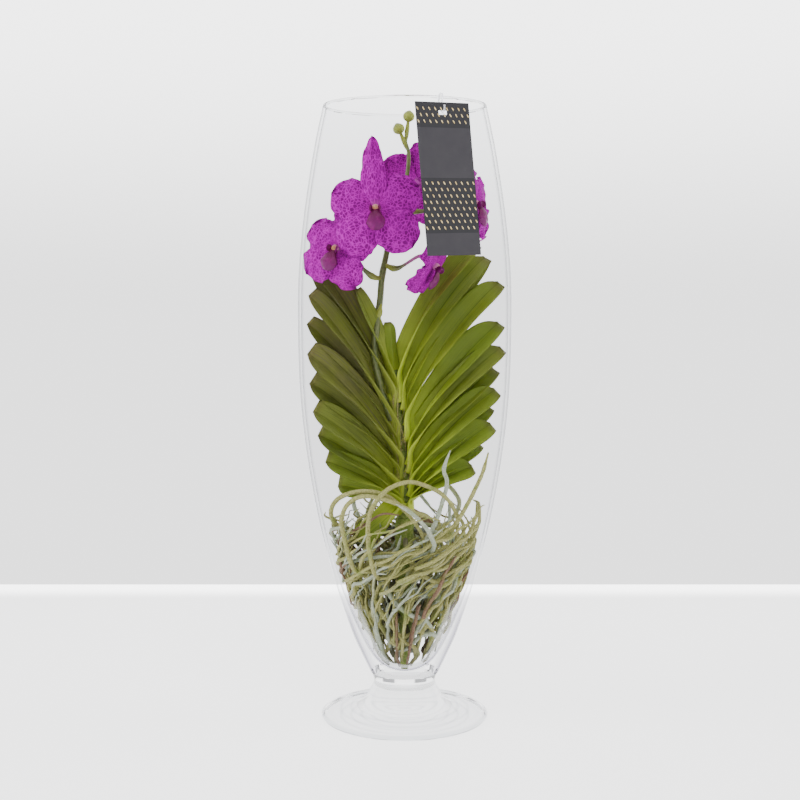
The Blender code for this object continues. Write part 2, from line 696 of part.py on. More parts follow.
def make_roots():
    silver = material("root_silver", (0.55, 0.56, 0.42), 0.7)
    top = CROWN_TOP - GAP
    heights = [CROWN_BOTTOM + (top - CROWN_BOTTOM) * share for share in CROWN_PLACES]
    pieces = [tube("crown", [Vector((0, 0, z)) for z in heights], CROWN_RADII, 8)]
    for i, points in enumerate(SHOWN_ROOTS):
        path = held_inside(smooth_points(points, 2 * len(points)))
        taper = [ROOT_RADIUS * (1.0 - ROOT_TAPER * j / (len(path) - 1)) for j in range(len(path))]
        pieces.append(tube("root", path, taper, ROOT_SIDES))
    draw = random.Random(ROOT_SEED)
    for i in range(TANGLE_ROOTS):
        path = held_inside(tangle_root(draw, i))
        taper = [ROOT_RADIUS * (TANGLE_THICKER - ROOT_TAPER * j / (len(path) - 1)) for j in range(len(path))]
        pieces.append(tube("root", path, taper, ROOT_SIDES))
    return fuse("roots", pieces, silver)


def tag_distance():
    """How far from the axis the card's middle hangs, with its back just clear of the glass."""
    lean = math.radians(TAG_LEAN)
    steps = 40
    most = 0.0
    for i in range(steps + 1):
        below = TAG_HEIGHT * (i / steps - 0.5) * math.cos(lean)
        wall = outline_radius(TAG_MIDDLE_HEIGHT - below)
        most = max(most, wall - below * math.tan(lean))
    return most + (GAP + 0.5 * TAG_THICKNESS) / math.cos(lean)


def tag_frame():
    """The card's middle, and the directions across, up and out of it."""
    turn, lean, tilt = (math.radians(a) for a in (TAG_TURN, TAG_LEAN, TAG_TILT))
    outward = Vector((math.sin(turn), -math.cos(turn), 0))
    right = Vector((math.cos(turn), math.sin(turn), 0))
    middle = tag_distance() * outward + TAG_SIDEWAYS * right + TAG_MIDDLE_HEIGHT * UP
    up = math.cos(lean) * UP - math.sin(lean) * outward
    out = math.cos(lean) * outward + math.sin(lean) * UP
    across = math.cos(tilt) * right + math.sin(tilt) * up
    return middle, across, math.cos(tilt) * up - math.sin(tilt) * right, out


def tag_box(name, width, height, thickness, down, finish=None):
    """A flat block in the card's own directions, its middle so far below the card's top edge."""
    middle, across, up, out = tag_frame()
    middle = middle + (0.5 * TAG_HEIGHT - down) * up
    corners = [
        middle + 0.5 * (x * width * across + y * height * up + z * thickness * out)
        for z in (-1, 1)
        for x, y in ((-1, -1), (1, -1), (1, 1), (-1, 1))
    ]
    faces = [(0, 3, 2, 1), (4, 5, 6, 7), (0, 1, 5, 4), (1, 2, 6, 5), (2, 3, 7, 6), (3, 0, 4, 7)]
    return add_object(name, corners, faces, finish)


def make_tag():
    dark = material("card", (0.06, 0.06, 0.075), 0.5)
    card = tag_box("tag_card", TAG_WIDTH, TAG_HEIGHT, TAG_THICKNESS, 0.5 * TAG_HEIGHT, dark)
    point_outwards(card)
    cut(card, tag_box("slot", SLOT_WIDTH, SLOT_HEIGHT, 10 * TAG_THICKNESS, SLOT_DOWN))


def make_hook():
    """A clear hook from inside the rim, over it, and through the card's slot."""
    turn = math.radians(HOOK_ANGLE)
    outward = Vector((math.sin(turn), -math.cos(turn), 0))
    clear = HOOK_RADIUS + GAP
    rim = OUTLINE[-1][0]
    middle, across, up, out = tag_frame()
    slot = middle + (0.5 * TAG_HEIGHT - SLOT_DOWN + 0.5 * SLOT_HEIGHT - clear) * up
    points = [
        (rim - WALL - clear - HOOK_STAND) * outward + (VASE_HEIGHT - HOOK_DEPTH) * UP,
        (rim - WALL - clear - HOOK_STAND) * outward + (VASE_HEIGHT - HOOK_SHOULDER) * UP,
        (rim - 0.5 * WALL) * outward + (VASE_HEIGHT + clear + HOOK_CROWN) * UP,
        (rim + clear + HOOK_OUTER_STAND) * outward + (VASE_HEIGHT - HOOK_SHOULDER) * UP,
    ]
    points += [slot + forward * out + above * up for forward, above in HOOK_TURN_UP]
    clear_plastic = material("clear_plastic", (0.9, 0.9, 0.92), 0.1)
    return tube("tag_hook", smooth_points(points, 16), HOOK_RADIUS, 6, clear_plastic)


def main():
    for obj in list(bpy.data.objects):
        bpy.data.objects.remove(obj)
    make_vase()
    make_leafy_stem()
    make_roots()
    make_spike()
    petal = material("petal_magenta", (0.52, 0.02, 0.50), 0.5)
    crimson = material("lip_crimson", (0.30, 0.01, 0.16), 0.45)
    for bloom in BLOOMS:
        make_bloom(bloom, petal)
        make_lip(bloom, crimson)
    make_tag()
    make_hook()


main()
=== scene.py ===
"""A vanda orchid in a tall footed glass vase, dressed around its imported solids.

Metres, +Z up. The origin is the centre of the foot's flat underside. -Y is the front.
"""

import math
import random

import bpy
from mathutils import Matrix, Vector


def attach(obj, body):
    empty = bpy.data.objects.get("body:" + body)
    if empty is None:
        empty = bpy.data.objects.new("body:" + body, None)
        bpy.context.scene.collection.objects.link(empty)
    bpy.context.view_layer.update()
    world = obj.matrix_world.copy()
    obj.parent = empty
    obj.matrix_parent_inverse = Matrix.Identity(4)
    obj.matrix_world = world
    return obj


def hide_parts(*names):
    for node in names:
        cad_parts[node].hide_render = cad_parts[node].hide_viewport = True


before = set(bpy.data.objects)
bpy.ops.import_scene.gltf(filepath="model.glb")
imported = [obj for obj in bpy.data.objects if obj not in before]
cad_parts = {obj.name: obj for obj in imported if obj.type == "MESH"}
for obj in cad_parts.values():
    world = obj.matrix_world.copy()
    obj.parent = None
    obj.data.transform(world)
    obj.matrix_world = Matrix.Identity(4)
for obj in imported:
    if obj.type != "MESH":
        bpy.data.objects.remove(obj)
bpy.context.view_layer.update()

UP = Vector((0, 0, 1))
FULL_TURN = 2 * math.pi

# Vase, from the centre of the foot out and up the outside: radius and height
FOOT_RING = ((0.0, 0.0014), (0.0400, 0.0012), (0.0690, 0.0007), (0.0745, 0.0), (0.0800, 0.0),
             (0.0821, 0.0006), (0.0828, 0.0020), (0.0822, 0.0036), (0.0800, 0.0046))
VASE_HEIGHT = 0.600
WALL = 0.0030
INNER_FLOOR = 0.0455
VASE_OUTLINE = (
    (0.0700, 0.0058), (0.0600, 0.0074), (0.0500, 0.0100), (0.0440, 0.0130), (0.0398, 0.0168),
    (0.0366, 0.0202), (0.0362, 0.0228), (0.0350, 0.0258), (0.0322, 0.0296), (0.0300, 0.0350),
    (0.0309, 0.0400), (0.0340, 0.0460), (0.0420, 0.0630), (0.0517, 0.0850), (0.0655, 0.1260),
    (0.0768, 0.1660), (0.0863, 0.2060), (0.0963, 0.2650), (0.1023, 0.3250), (0.1040, 0.3900),
    (0.1028, 0.4420), (0.0970, 0.4990), (0.0876, 0.5570), (0.0787, VASE_HEIGHT - 0.5 * WALL),
)
INNER_BOWL = ((0.0610, 0.1260), (0.0460, 0.0880), (0.0320, 0.0620), (0.0200, 0.0510))
VASE_SIDES = 144
# Sides of the vase's solid, the height from which its inside follows its outline, and the height
# where its bowl starts
SOLID_SIDES = 36
INNER_WALL_FROM = 0.166
BOWL_FROM = 0.035
# Glass: the heights between which the wall counts as thin, and the height and reach of the foot's flat
THIN_WALL_FROM = 0.0450
THIN_WALL_TO = 0.5976
THIN_FOOT = 0.0110
THIN_FOOT_REACH = 0.0785
# Over how much height the thin wall changes to thick glass
THIN_STEP = 0.0002
WALL_TINT = (0.958, 0.960, 0.964)
FOOT_TINT = (0.925, 0.928, 0.933)
RING_TINT = (0.800, 0.805, 0.818)
# Tint of the painted dark outline along the thick base's edges
EDGE_SHADE_TINT = (0.500, 0.490, 0.540)
# How closely the foot's rings follow each other, in radians to the metre
FOOT_RINGS = 620.0

# Plant
GAP = 0.0003
CROWN_TOP = 0.1990
STEM_RADIUS = 0.0075
STEM = ((0.0, 0.0, CROWN_TOP), (-0.002, 0.0, 0.250), (-0.007, -0.001, 0.300), (-0.010, -0.002, 0.345))
LEAF_THICKNESS = 0.0016
# How far a bowed leaf's bend rises, as a share of how far it is drawn in
LEAF_BEND_RISE = 0.45
# One strap leaf: base height on the stem, tip's reach from the axis and height, turn about the
# axis in degrees (0 is right, 180 is left), full width, twist in degrees, and the bow, which is the
# share of its reach by which its bend is drawn in towards the stem. Last, how olive it is, from
# fresh green at 0 to brown olive at 1
LEAVES = {
    "right_1": (0.312, 0.073, 0.466, 12, 0.028, 44, 0.36, 0.10),
    "right_2": (0.304, 0.086, 0.455, 22, 0.034, 50, 0.26, 0.34),
    "right_3": (0.290, 0.095, 0.450, 34, 0.030, 46, 0.24, 0.45),
    "right_4": (0.278, 0.095, 0.430, 12, 0.034, 54, 0.24, 0.20),
    "right_5": (0.256, 0.0962, 0.390, 14, 0.034, 56, 0.22, 0.10),
    "right_6": (0.244, 0.096, 0.366, 8, 0.033, 56, 0.20, 0.40),
    "right_7": (0.232, 0.095, 0.344, 20, 0.032, 56, 0.19, 0.30),
    "right_8": (0.222, 0.092, 0.324, 12, 0.034, 58, 0.18, 0.12),
    "right_9": (0.214, 0.090, 0.307, 22, 0.034, 58, 0.17, 0.05),
    "right_10": (0.208, 0.087, 0.290, 10, 0.035, 58, 0.16, 0.02),
    "right_11": (0.204, 0.080, 0.270, 24, 0.034, 56, 0.16, 0.04),
    "right_12": (0.204, 0.068, 0.248, 8, 0.032, 54, 0.16, 0.00),
    "left_1": (0.318, 0.017, 0.392, 215, 0.016, 76, 0.02, 0.06),
    "left_2": (0.312, 0.051, 0.423, 203, 0.022, -60, 0.12, 0.40),
    "left_3": (0.296, 0.090, 0.456, 186, 0.038, -56, 0.16, 0.90),
    "left_4": (0.282, 0.094, 0.446, 168, 0.034, -52, 0.16, 0.96),
    "left_5": (0.268, 0.094, 0.418, 192, 0.030, -56, 0.18, 0.80),
    "left_6": (0.252, 0.095, 0.390, 180, 0.032, -56, 0.22, 0.92),
    "left_7": (0.238, 0.095, 0.362, 190, 0.040, -58, 0.22, 0.86),
    "left_8": (0.226, 0.093, 0.332, 178, 0.038, -56, 0.22, 0.66),
    "left_9": (0.216, 0.090, 0.306, 190, 0.036, -56, 0.20, 0.50),
    "left_10": (0.209, 0.085, 0.281, 180, 0.036, -56, 0.20, 0.30),
    "left_11": (0.211, 0.052, 0.180, 214, 0.030, -40, 0.15, 0.12),
    "left_12": (0.205, 0.078, 0.256, 188, 0.034, -56, 0.18, 0.16),
    "left_13": (0.204, 0.066, 0.230, 176, 0.032, -54, 0.16, 0.10),
}

# Fibres of old sheaths on the stem, and how far from its middle they start
FIBRES = 20
FIBRE_SEED = 11
FIBRE_START = 0.0098

# Spike of flowers
SPIKE = (
    (-0.013, -0.004, 0.296), (-0.022, -0.008, 0.325), (-0.029, -0.010, 0.360), (-0.027, -0.009, 0.389),
    (-0.024, -0.006, 0.412), (-0.022, -0.004, 0.435), (-0.018, -0.001, 0.456), (-0.012, 0.002, 0.485),
    (-0.005, 0.003, 0.510), (0.002, 0.002, 0.532), (0.004, 0.000, 0.552), (0.001, -0.001, 0.565),
)
SPIKE_RADII = (0.0036, 0.0015)
# Which of the spike's 31 even steps are its swollen joints, and how much thicker those are
SPIKE_JOINTS = (10, 16, 20, 24, 28)
SPIKE_JOINT_SWELL = 1.18
BRACT_HEIGHT = 0.398
BUDS = (
    ((0.003, 0.000, 0.557), (-0.006, -0.003, 0.5775), 0.0056),
    ((0.001, -0.001, 0.565), (0.004, -0.001, 0.5895), 0.0056),
)
# One bloom: middle of its face, facing turn and lift, roll in degrees, petal length, the top
# sepal's share of it, and the height where its stalk leaves the spike
BLOOMS = {
    "bloom_1": ((-0.064, -0.036, 0.462), -26, 4, -14, 0.039, 1.0, 0.434),
    "bloom_2": ((-0.027, -0.051, 0.499), -4, 6, 4, 0.047, 1.46, 0.470),
    "bloom_3": ((0.012, 0.036, 0.527), 158, 10, 10, 0.042, 1.0, 0.528),
    "bloom_4": ((0.066, -0.006, 0.505), 62, 4, 6, 0.040, 1.0, 0.500),
    "bloom_5": ((0.027, -0.024, 0.447), 70, -30, -8, 0.036, 1.0, 0.447),
}
# One tepal: direction in degrees from up, length and width as shares of the bloom's size, and bow
TEPALS = (
    (0, 1.00, 0.62, 0.08),
    (66, 0.96, 0.80, 0.05),
    (-66, 0.96, 0.80, 0.05),
    (140, 1.06, 0.86, 0.06),
    (-140, 1.06, 0.86, 0.06),
)
TEPAL_THICKNESS = 0.0010
# A petal against its row above: how much wider and more bowed. Then its cup, its ruffle, and how
# far each of them swings from one petal to the next
PETAL_WIDENING = 1.08
PETAL_BOW = 0.03
PETAL_CUP = -0.16
PETAL_CUP_SWING = 0.14
PETAL_RUFFLE = 0.0025
PETAL_RUFFLE_SWING = 0.0007
# What sets a top sepal apart that is longer than its bloom's other petals
TALL_SEPAL = {"Claw": 0.50, "Shoulder": 0.36, "Tip Shape": 1.25, "Curl": 0.04, "Width": 0.0255}
COLUMN_RADII = (0.0036, 0.0030, 0.0020)
HUB_RADIUS = 0.0042
HUB_BACK = 0.0040
HUB_FRONT = 0.0022
STALK_RADIUS = 0.0016

# Roots that show one by one, by points from the crown outwards
SHOWN_ROOTS = (
    ((-0.010, -0.012, 0.170), (-0.040, -0.040, 0.150), (-0.060, -0.050, 0.180), (-0.058, -0.051, 0.214),
     (-0.040, -0.058, 0.229), (-0.014, -0.063, 0.225), (0.012, -0.060, 0.213), (0.034, -0.054, 0.205)),
    ((-0.014, 0.004, 0.190), (-0.050, -0.010, 0.178), (-0.070, -0.034, 0.204), (-0.064, -0.042, 0.224),
     (-0.038, -0.052, 0.233), (-0.012, -0.056, 0.226), (0.014, -0.052, 0.196), (0.020, -0.044, 0.170)),
    ((-0.008, -0.014, 0.150), (-0.026, -0.052, 0.150), (-0.034, -0.062, 0.182), (-0.033, -0.062, 0.212),
     (-0.020, -0.062, 0.233), (0.000, -0.062, 0.243), (0.018, -0.059, 0.240), (0.038, -0.054, 0.228),
     (0.050, -0.047, 0.206), (0.048, -0.036, 0.176)),
    ((0.010, -0.010, 0.176), (0.014, -0.036, 0.178), (0.024, -0.052, 0.192), (0.033, -0.053, 0.214),
     (0.040, -0.053, 0.240), (0.037, -0.053, 0.254), (0.043, -0.053, 0.272)),
    ((0.004, -0.014, 0.160), (0.026, -0.054, 0.176), (0.024, -0.068, 0.194), (0.010, -0.070, 0.212),
     (-0.008, -0.066, 0.223)),
    ((0.012, 0.000, 0.184), (0.036, -0.038, 0.184), (0.050, -0.050, 0.204), (0.062, -0.046, 0.224),
     (0.074, -0.040, 0.248), (0.080, -0.036, 0.268)),
    ((0.010, 0.008, 0.192), (0.040, 0.030, 0.186), (0.056, 0.046, 0.206), (0.040, 0.064, 0.224),
     (0.006, 0.072, 0.228), (-0.028, 0.066, 0.214), (-0.044, 0.048, 0.180)),
    ((-0.010, 0.010, 0.186), (-0.036, 0.040, 0.180), (-0.052, 0.052, 0.208), (-0.030, 0.068, 0.234),
     (0.004, 0.074, 0.222), (0.034, 0.062, 0.190)),
)
# Roots of the tangle below, laid by a rule
TANGLE_ROOTS = 25
TANGLE_TOP = 0.190
TANGLE_BOTTOM = 0.085
# How far a tangled root falls and how that varies, the least height of its end above the crown's,
# the height of its waves, and how far inside the glass it stays
TANGLE_FALL = 0.085
TANGLE_SPREAD = 0.030
TANGLE_LOWEST = 0.006
TANGLE_WAVE = 0.006
TANGLE_CLEAR = 0.0035
# Where a tangled root starts: how far from the crown's axis, and how its height strays and drops
TANGLE_START = 0.003
TANGLE_STRAY = 0.004
TANGLE_DIP = 0.004
# A tangled root's reach as a share of the clear radius, how much less it may be, and the share
# of that at its first bend
TANGLE_REACH = 0.93
TANGLE_SLACK = 0.16
TANGLE_FIRST_REACH = 0.72
# Turn from one root to the next that never lines up
GOLDEN_TURN = math.pi * (3 - math.sqrt(5))
ROOT_RADIUS = 0.0023
# The share of a root's radius that is kept off the glass
ROOT_ROOM = 1.2
ROOT_SEED = 7
# A root's thickness along it, as shares of its radius
ROOT_SHAPE = (1.0, 1.04, 0.98, 1.02, 0.96, 0.98, 0.92, 0.90, 0.84, 0.78, 0.25)
# Tone of each root that shows one by one: silver below 0.24, khaki above 0.36
SHOWN_TONES = (0.55, 0.50, 0.60, 0.05, 0.10, 0.55, 0.30, 0.20)
# Finer roots inside the glass: their number and radii, the lowest start, how far up the starts
# spread and how they crowd, the highest level, how far inside the glass they stay, and the shares
# of its clear radius at which they lie
FINE_ROOTS = 330
FINE_RADII = (0.0008, 0.0011, 0.0014, 0.0017, 0.0020)
FINE_LOWEST = 0.053
FINE_SPREAD = 0.112
FINE_CROWDING = 0.85
FINE_HIGHEST = 0.212
FINE_CLEAR = 0.003
FINE_DEPTHS = (0.96, 0.94, 0.88, 0.80, 0.62, 0.42)
# The height near which finer roots stop running steeply and start to wind round
WINDING_FROM = 0.075
CROWN_BOTTOM = 0.0470
CROWN_RADII = (0.0038, 0.0080, 0.0105, 0.0090)

# Card tag, hung on the rim by a clear hook
TAG_WIDTH = 0.057
TAG_HEIGHT = 0.139
TAG_THICKNESS = 0.0007
TAG_TURN = 30
TAG_LEAN = 6.8
TAG_TILT = 1.6
TAG_SIDEWAYS = -0.0095
TAG_MIDDLE_HEIGHT = 0.5238
SLOT_HEIGHT = 0.0040
SLOT_DOWN = 0.0095
# Bands of foil seeds: the level of each on the card as a share of its height, and its rows
FOIL_BANDS = {"upper": (0.414, 3), "lower": (-0.175, 8)}
FOIL_COLUMNS = 9
FOIL_MARGIN = 0.0035
FOIL_ROW_STEP = 0.0058
FOIL_RAISE = 0.00003
HOOK_RADIUS = 0.0009
HOOK_ANGLE = 25
# The hook's own radius, just inside its solid's flat sides
HOOK_SKIN = 0.0008

# Camera
CAMERA_PLACE = (-0.0045, -1.364, 0.436)
CAMERA_DOWN = 5.06
CAMERA_LENS = 62.91

# Stage and lights: the floor's far edge and its reach the other ways, how bright it looks, how
# much it lights, and the panels that the glass shows
FLOOR_BACK = 0.59
FLOOR_REACH = 2.5
PAPER_GLOW = 2.2
PAPER_LIGHT = 0.5
LIGHT_PANELS = 8
# Each lamp: its place, what it is aimed at, its width and height, and its power in watts
LIGHTS = {
    "left_box": ((-1.5, -0.35, 0.75), (0, 0, 0.32), 0.7, 1.3, 16),
    "right_box": ((1.5, 0.15, 0.75), (0, 0, 0.32), 0.7, 1.3, 12),
    "top_box": ((0, -0.9, 1.9), (0, 0, 0.3), 1.4, 1.0, 20),
}


def find_socket(sockets, key):
    if isinstance(key, int):
        return sockets[key]
    return next(s for s in sockets if s.name == key and s.enabled)


def is_vector(value):
    return value.vector if isinstance(value, Field) else not isinstance(value, (int, float))


def with_second(operation):
    """A method of Field for a sum of it and a value after it."""
    return lambda field, other: field.pair(operation, field, other)


def with_first(operation):
    """The same for a value before it."""
    return lambda field, other: field.pair(operation, other, field)


def of_one(operation):
    """A method of Field for a sum of it alone."""
    return lambda field: field.plan.node("ShaderNodeMath", {"operation": operation}, {0: field})


class Field:
    """A socket that takes part in Python sums. Numbers become Math nodes, vectors Vector Math."""

    def __init__(self, plan, socket):
        self.plan = plan
        self.socket = socket
        self.vector = socket.type in ("VECTOR", "RGBA")

    def __getitem__(self, name):
        """Another output of the same node."""
        return Field(self.plan, find_socket(self.socket.node.outputs, name))

    def pair(self, operation, first, second):
        if not is_vector(first) and not is_vector(second):
            return self.plan.node("ShaderNodeMath", {"operation": operation}, {0: first, 1: second})
        if operation == "MULTIPLY" and is_vector(first) != is_vector(second):
            line, share = (first, second) if is_vector(first) else (second, first)
            return self.plan.node("ShaderNodeVectorMath", {"operation": "SCALE"}, {0: line, "Scale": share})
        return self.plan.node("ShaderNodeVectorMath", {"operation": operation}, {0: first, 1: second})

    __add__ = with_second("ADD")
    __radd__ = with_first("ADD")
    __sub__ = with_second("SUBTRACT")
    __rsub__ = with_first("SUBTRACT")
    __mul__ = with_second("MULTIPLY")
    __rmul__ = with_first("MULTIPLY")
    __truediv__ = with_second("DIVIDE")
    __pow__ = with_second("POWER")
    least = with_second("MINIMUM")
    most = with_second("MAXIMUM")
    modulo = with_second("FLOORED_MODULO")
    cross = with_second("CROSS_PRODUCT")
    sine = of_one("SINE")
    cosine = of_one("COSINE")
    root = of_one("SQRT")
    size = of_one("ABSOLUTE")
    floor = of_one("FLOOR")

    def rise(self, low, high):
        """0 below low, 1 above high, and smooth between them. high may be the lower one."""
        sockets = {"Value": self, "From Min": low, "From Max": high}
        return self.plan.node("ShaderNodeMapRange", {"interpolation_type": "SMOOTHSTEP"}, sockets)

    def dot(self, other):
        made = self.plan.node("ShaderNodeVectorMath", {"operation": "DOT_PRODUCT"}, {0: self, 1: other})
        return made["Value"]

    def unit(self):
        return self.plan.node("ShaderNodeVectorMath", {"operation": "NORMALIZE"}, {0: self})


class Plan:
    """Builds the node tree of one finish or one growing rule."""

    def __init__(self, tree):
        self.tree = tree

    def node(self, kind, settings=None, sockets=None):
        """Adds a node, its settings first and then its sockets, and returns its first output."""
        made = self.tree.nodes.new(kind)
        for name, value in (settings or {}).items():
            setattr(made, name, value)
        for key, value in (sockets or {}).items():
            socket = find_socket(made.inputs, key)
            for part in value if isinstance(value, list) else [value]:
                if isinstance(part, Field):
                    self.tree.links.new(part.socket, socket)
                elif socket.type == "RGBA" and len(part) == 3:
                    socket.default_value = (*part, 1.0)
                else:
                    socket.default_value = part
        outputs = [s for s in made.outputs if s.enabled]
        return Field(self, outputs[0]) if outputs else None

    def mix(self, share, first, second):
        settings = {"data_type": "RGBA", "clamp_factor": True}
        return self.node("ShaderNodeMix", settings, {"Factor": share, "A": first, "B": second})

    def noise(self, where, scale, detail=2.0, roughness=0.5):
        sockets = {"Vector": where, "Scale": scale, "Detail": detail, "Roughness": roughness}
        return self.node("ShaderNodeTexNoise", {}, sockets)

    def bump(self, height, strength, distance):
        sockets = {"Height": height, "Strength": strength, "Distance": distance}
        return self.node("ShaderNodeBump", {}, sockets)

    def split(self, vector):
        """A vector's parts, by the names X, Y and Z."""
        return self.node("ShaderNodeSeparateXYZ", {}, {0: vector})

    def joint(self, x, y, z=0.0):
        """A vector from its parts."""
        return self.node("ShaderNodeCombineXYZ", {}, {"X": x, "Y": y, "Z": z})

    def blend(self, share, first, second):
        """Two shaders, with the second one's share."""
        return self.node("ShaderNodeMixShader", {}, {0: share, 1: first, 2: second})

    def let_through(self, tint=(1.0, 1.0, 1.0)):
        """The shader of a surface that light passes straight through."""
        return self.node("ShaderNodeBsdfTransparent", {}, {"Color": tint})

    def spot(self):
        """The point on the piece, in the object's own metres."""
        return self.node("ShaderNodeTexCoord")["Object"]

    def own(self, name):
        """A number that the piece keeps at each of its points."""
        return self.node("ShaderNodeAttribute", {"attribute_name": name})["Fac"]

    def map_spot(self):
        """The place on a blade: across and along, each from 0 to 1."""
        return self.split(self.node("ShaderNodeUVMap", {"uv_map": "UVMap"}))


def finish(name, build):
    """A material whose surface shader build(plan) gives."""
    made = bpy.data.materials.new(name)
    made.use_nodes = True
    made.node_tree.nodes.clear()
    plan = Plan(made.node_tree)
    plan.node("ShaderNodeOutputMaterial", {}, {"Surface": build(plan)})
    return made


def coated(plan, **sockets):
    """The shader of a solid surface. Words in the names are joined by _."""
    named = {name.replace("_", " "): value for name, value in sockets.items()}
    return plan.node("ShaderNodeBsdfPrincipled", {}, named)


def rule(name, sizes, build):
    """A Geometry Nodes tree with named inputs. build(plan, given) makes its shape."""
    tree = bpy.data.node_groups.new(name, "GeometryNodeTree")
    kinds = {float: "NodeSocketFloat", int: "NodeSocketInt", tuple: "NodeSocketVector"}
    tree.interface.new_socket("Geometry", in_out="OUTPUT", socket_type="NodeSocketGeometry")
    tree.interface.new_socket("Geometry", in_out="INPUT", socket_type="NodeSocketGeometry")
    for label, value in sizes.items():
        item = tree.interface.new_socket(label, in_out="INPUT", socket_type=kinds[type(value)])
        item.default_value = value
    tree.interface.new_socket("Finish", in_out="INPUT", socket_type="NodeSocketMaterial")
    plan = Plan(tree)
    given = plan.node("NodeGroupInput")
    shape = plan.node("GeometryNodeRealizeInstances", {}, {"Geometry": build(plan, given)})
    shape = plan.node("GeometryNodeSetMaterial", {}, {"Geometry": shape, "Material": given["Finish"]})
    plan.node("NodeGroupOutput", {}, {"Geometry": shape})
    return tree


def grow(name, tree, look, sizes, base=None):
    """A plain mesh object made by a rule, with some of its inputs set."""
    host = bpy.data.objects.new(name, base or bpy.data.meshes.new(name))
    bpy.context.scene.collection.objects.link(host)
    growth = host.modifiers.new(tree.name, "NODES")
    growth.node_group = tree
    for item in tree.interface.items_tree:
        if item.in_out == "INPUT" and item.name in {**sizes, "Finish": look}:
            growth[item.identifier] = {**sizes, "Finish": look}[item.name]
    graph = bpy.context.evaluated_depsgraph_get()
    mesh = bpy.data.meshes.new_from_object(host.evaluated_get(graph), depsgraph=graph)
    host.modifiers.clear()
    host.data = mesh
    mesh.name = name
    return host


def joined(name, parts):
    """One piece from several of one finish."""
    with bpy.context.temp_override(active_object=parts[0], selected_editable_objects=parts):
        bpy.ops.object.join()
    parts[0].name = name
    parts[0].data.name = name
    return parts[0]


def settle(piece, slot, *nodes):
    """Hands a finished piece over to the frame."""
    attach(piece, "root")
    if nodes:
        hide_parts(*nodes)


def smooth_points(points, count):
    """Points at even steps of the smooth curve that passes through the given ones."""
    points = [Vector(p) for p in points]
    ends = [2 * points[0] - points[1], *points, 2 * points[-1] - points[-2]]
    fine = []
    per_span = 12
    for a, b, c, d in zip(ends, ends[1:], ends[2:], ends[3:]):
        for step in range(per_span):
            t = step / per_span
            bend = (c - a) * t + (2 * a - 5 * b + 4 * c - d) * t**2 + (3 * b - a - 3 * c + d) * t**3
            fine.append(b + 0.5 * bend)
    fine.append(points[-1])
    lengths = [0.0]
    for p, q in zip(fine, fine[1:]):
        lengths.append(lengths[-1] + (q - p).length)
    out = []
    at = 0
    for i in range(count):
        want = lengths[-1] * i / (count - 1)
        while at < len(fine) - 2 and lengths[at + 1] < want:
            at += 1
        share = (want - lengths[at]) / (lengths[at + 1] - lengths[at])
        out.append(fine[at].lerp(fine[at + 1], share))
    return out


def between(values, t):
    """The value at share t of a list of values at even steps."""
    at = min(int(t * (len(values) - 1)), len(values) - 2)
    share = t * (len(values) - 1) - at
    return values[at] * (1 - share) + values[at + 1] * share


def line_mesh(name, lines):
    """A mesh of open lines. Each line is its points, their radii and their tones."""
    mesh = bpy.data.meshes.new(name)
    points, edges, radii, tones = [], [], [], []
    for path, thick, tone in lines:
        first = len(points)
        points += [tuple(p) for p in path]
        edges += [(first + i, first + i + 1) for i in range(len(path) - 1)]
        steps = [i / (len(path) - 1) for i in range(len(path))]
        radii += [between(thick, t) for t in steps]
        tones += [between(tone, t) for t in steps]
    mesh.from_pydata(points, edges, [])
    for label, values in (("thick", radii), ("tone", tones)):
        mesh.attributes.new(label, "FLOAT", "POINT").data.foreach_set("value", values)
    return mesh


# Growing rules

WELD_DISTANCE = 0.000004


def store(plan, geometry, name, value, kind="FLOAT", domain="POINT"):
    sockets = {"Geometry": geometry, "Name": name, "Value": value}
    return plan.node("GeometryNodeStoreNamedAttribute", {"data_type": kind, "domain": domain}, sockets)


def grid_spots(plan, across_count, along_count):
    """A flat grid with its map, and fields across it from -1 to 1 and along it from 0 to 1."""
    counts = {"Size X": 2.0, "Size Y": 1.0, "Vertices X": across_count, "Vertices Y": along_count}
    grid = plan.node("GeometryNodeMeshGrid", {}, counts)
    mapped = store(plan, grid, "UVMap", grid["UV Map"], "FLOAT2", "CORNER")
    spot = plan.split(plan.node("GeometryNodeInputPosition"))
    return mapped, spot["X"], spot["Y"] + 0.5


def weld(plan, geometry):
    merged = plan.node("GeometryNodeMergeByDistance", {}, {"Geometry": geometry, "Distance": WELD_DISTANCE})
    return plan.node("GeometryNodeSetShadeSmooth", {}, {"Geometry": merged})


def closed_blade(plan, given, across_count, along_count, place):
    """Two skins over one grid, welded round their edge. place(across, along) gives the middle of
    the blade, the direction through it and half its thickness there."""
    grid, across, along = grid_spots(plan, across_count, along_count)
    grid = store(plan, grid, "tone", given["Tone"])
    middle, face, half = place(across, along)
    skins = [
        plan.node("GeometryNodeSetPosition", {}, {"Geometry": grid, "Position": middle + face * half}),
        plan.node("GeometryNodeSetPosition", {}, {"Geometry": grid, "Position": middle - face * half}),
    ]
    skins[1] = plan.node("GeometryNodeFlipFaces", {}, {"Mesh": skins[1]})
    return weld(plan, plan.node("GeometryNodeJoinGeometry", {}, {"Geometry": skins}))


def edge_taper(across, along, start=20.0, end=14.0):
    """Full thickness inside a blade, and none at its edge and ends."""
    sides = 1 - across.size() ** 6.0
    return sides * (along * start).least(1.0) * ((1 - along) * end).least(1.0)


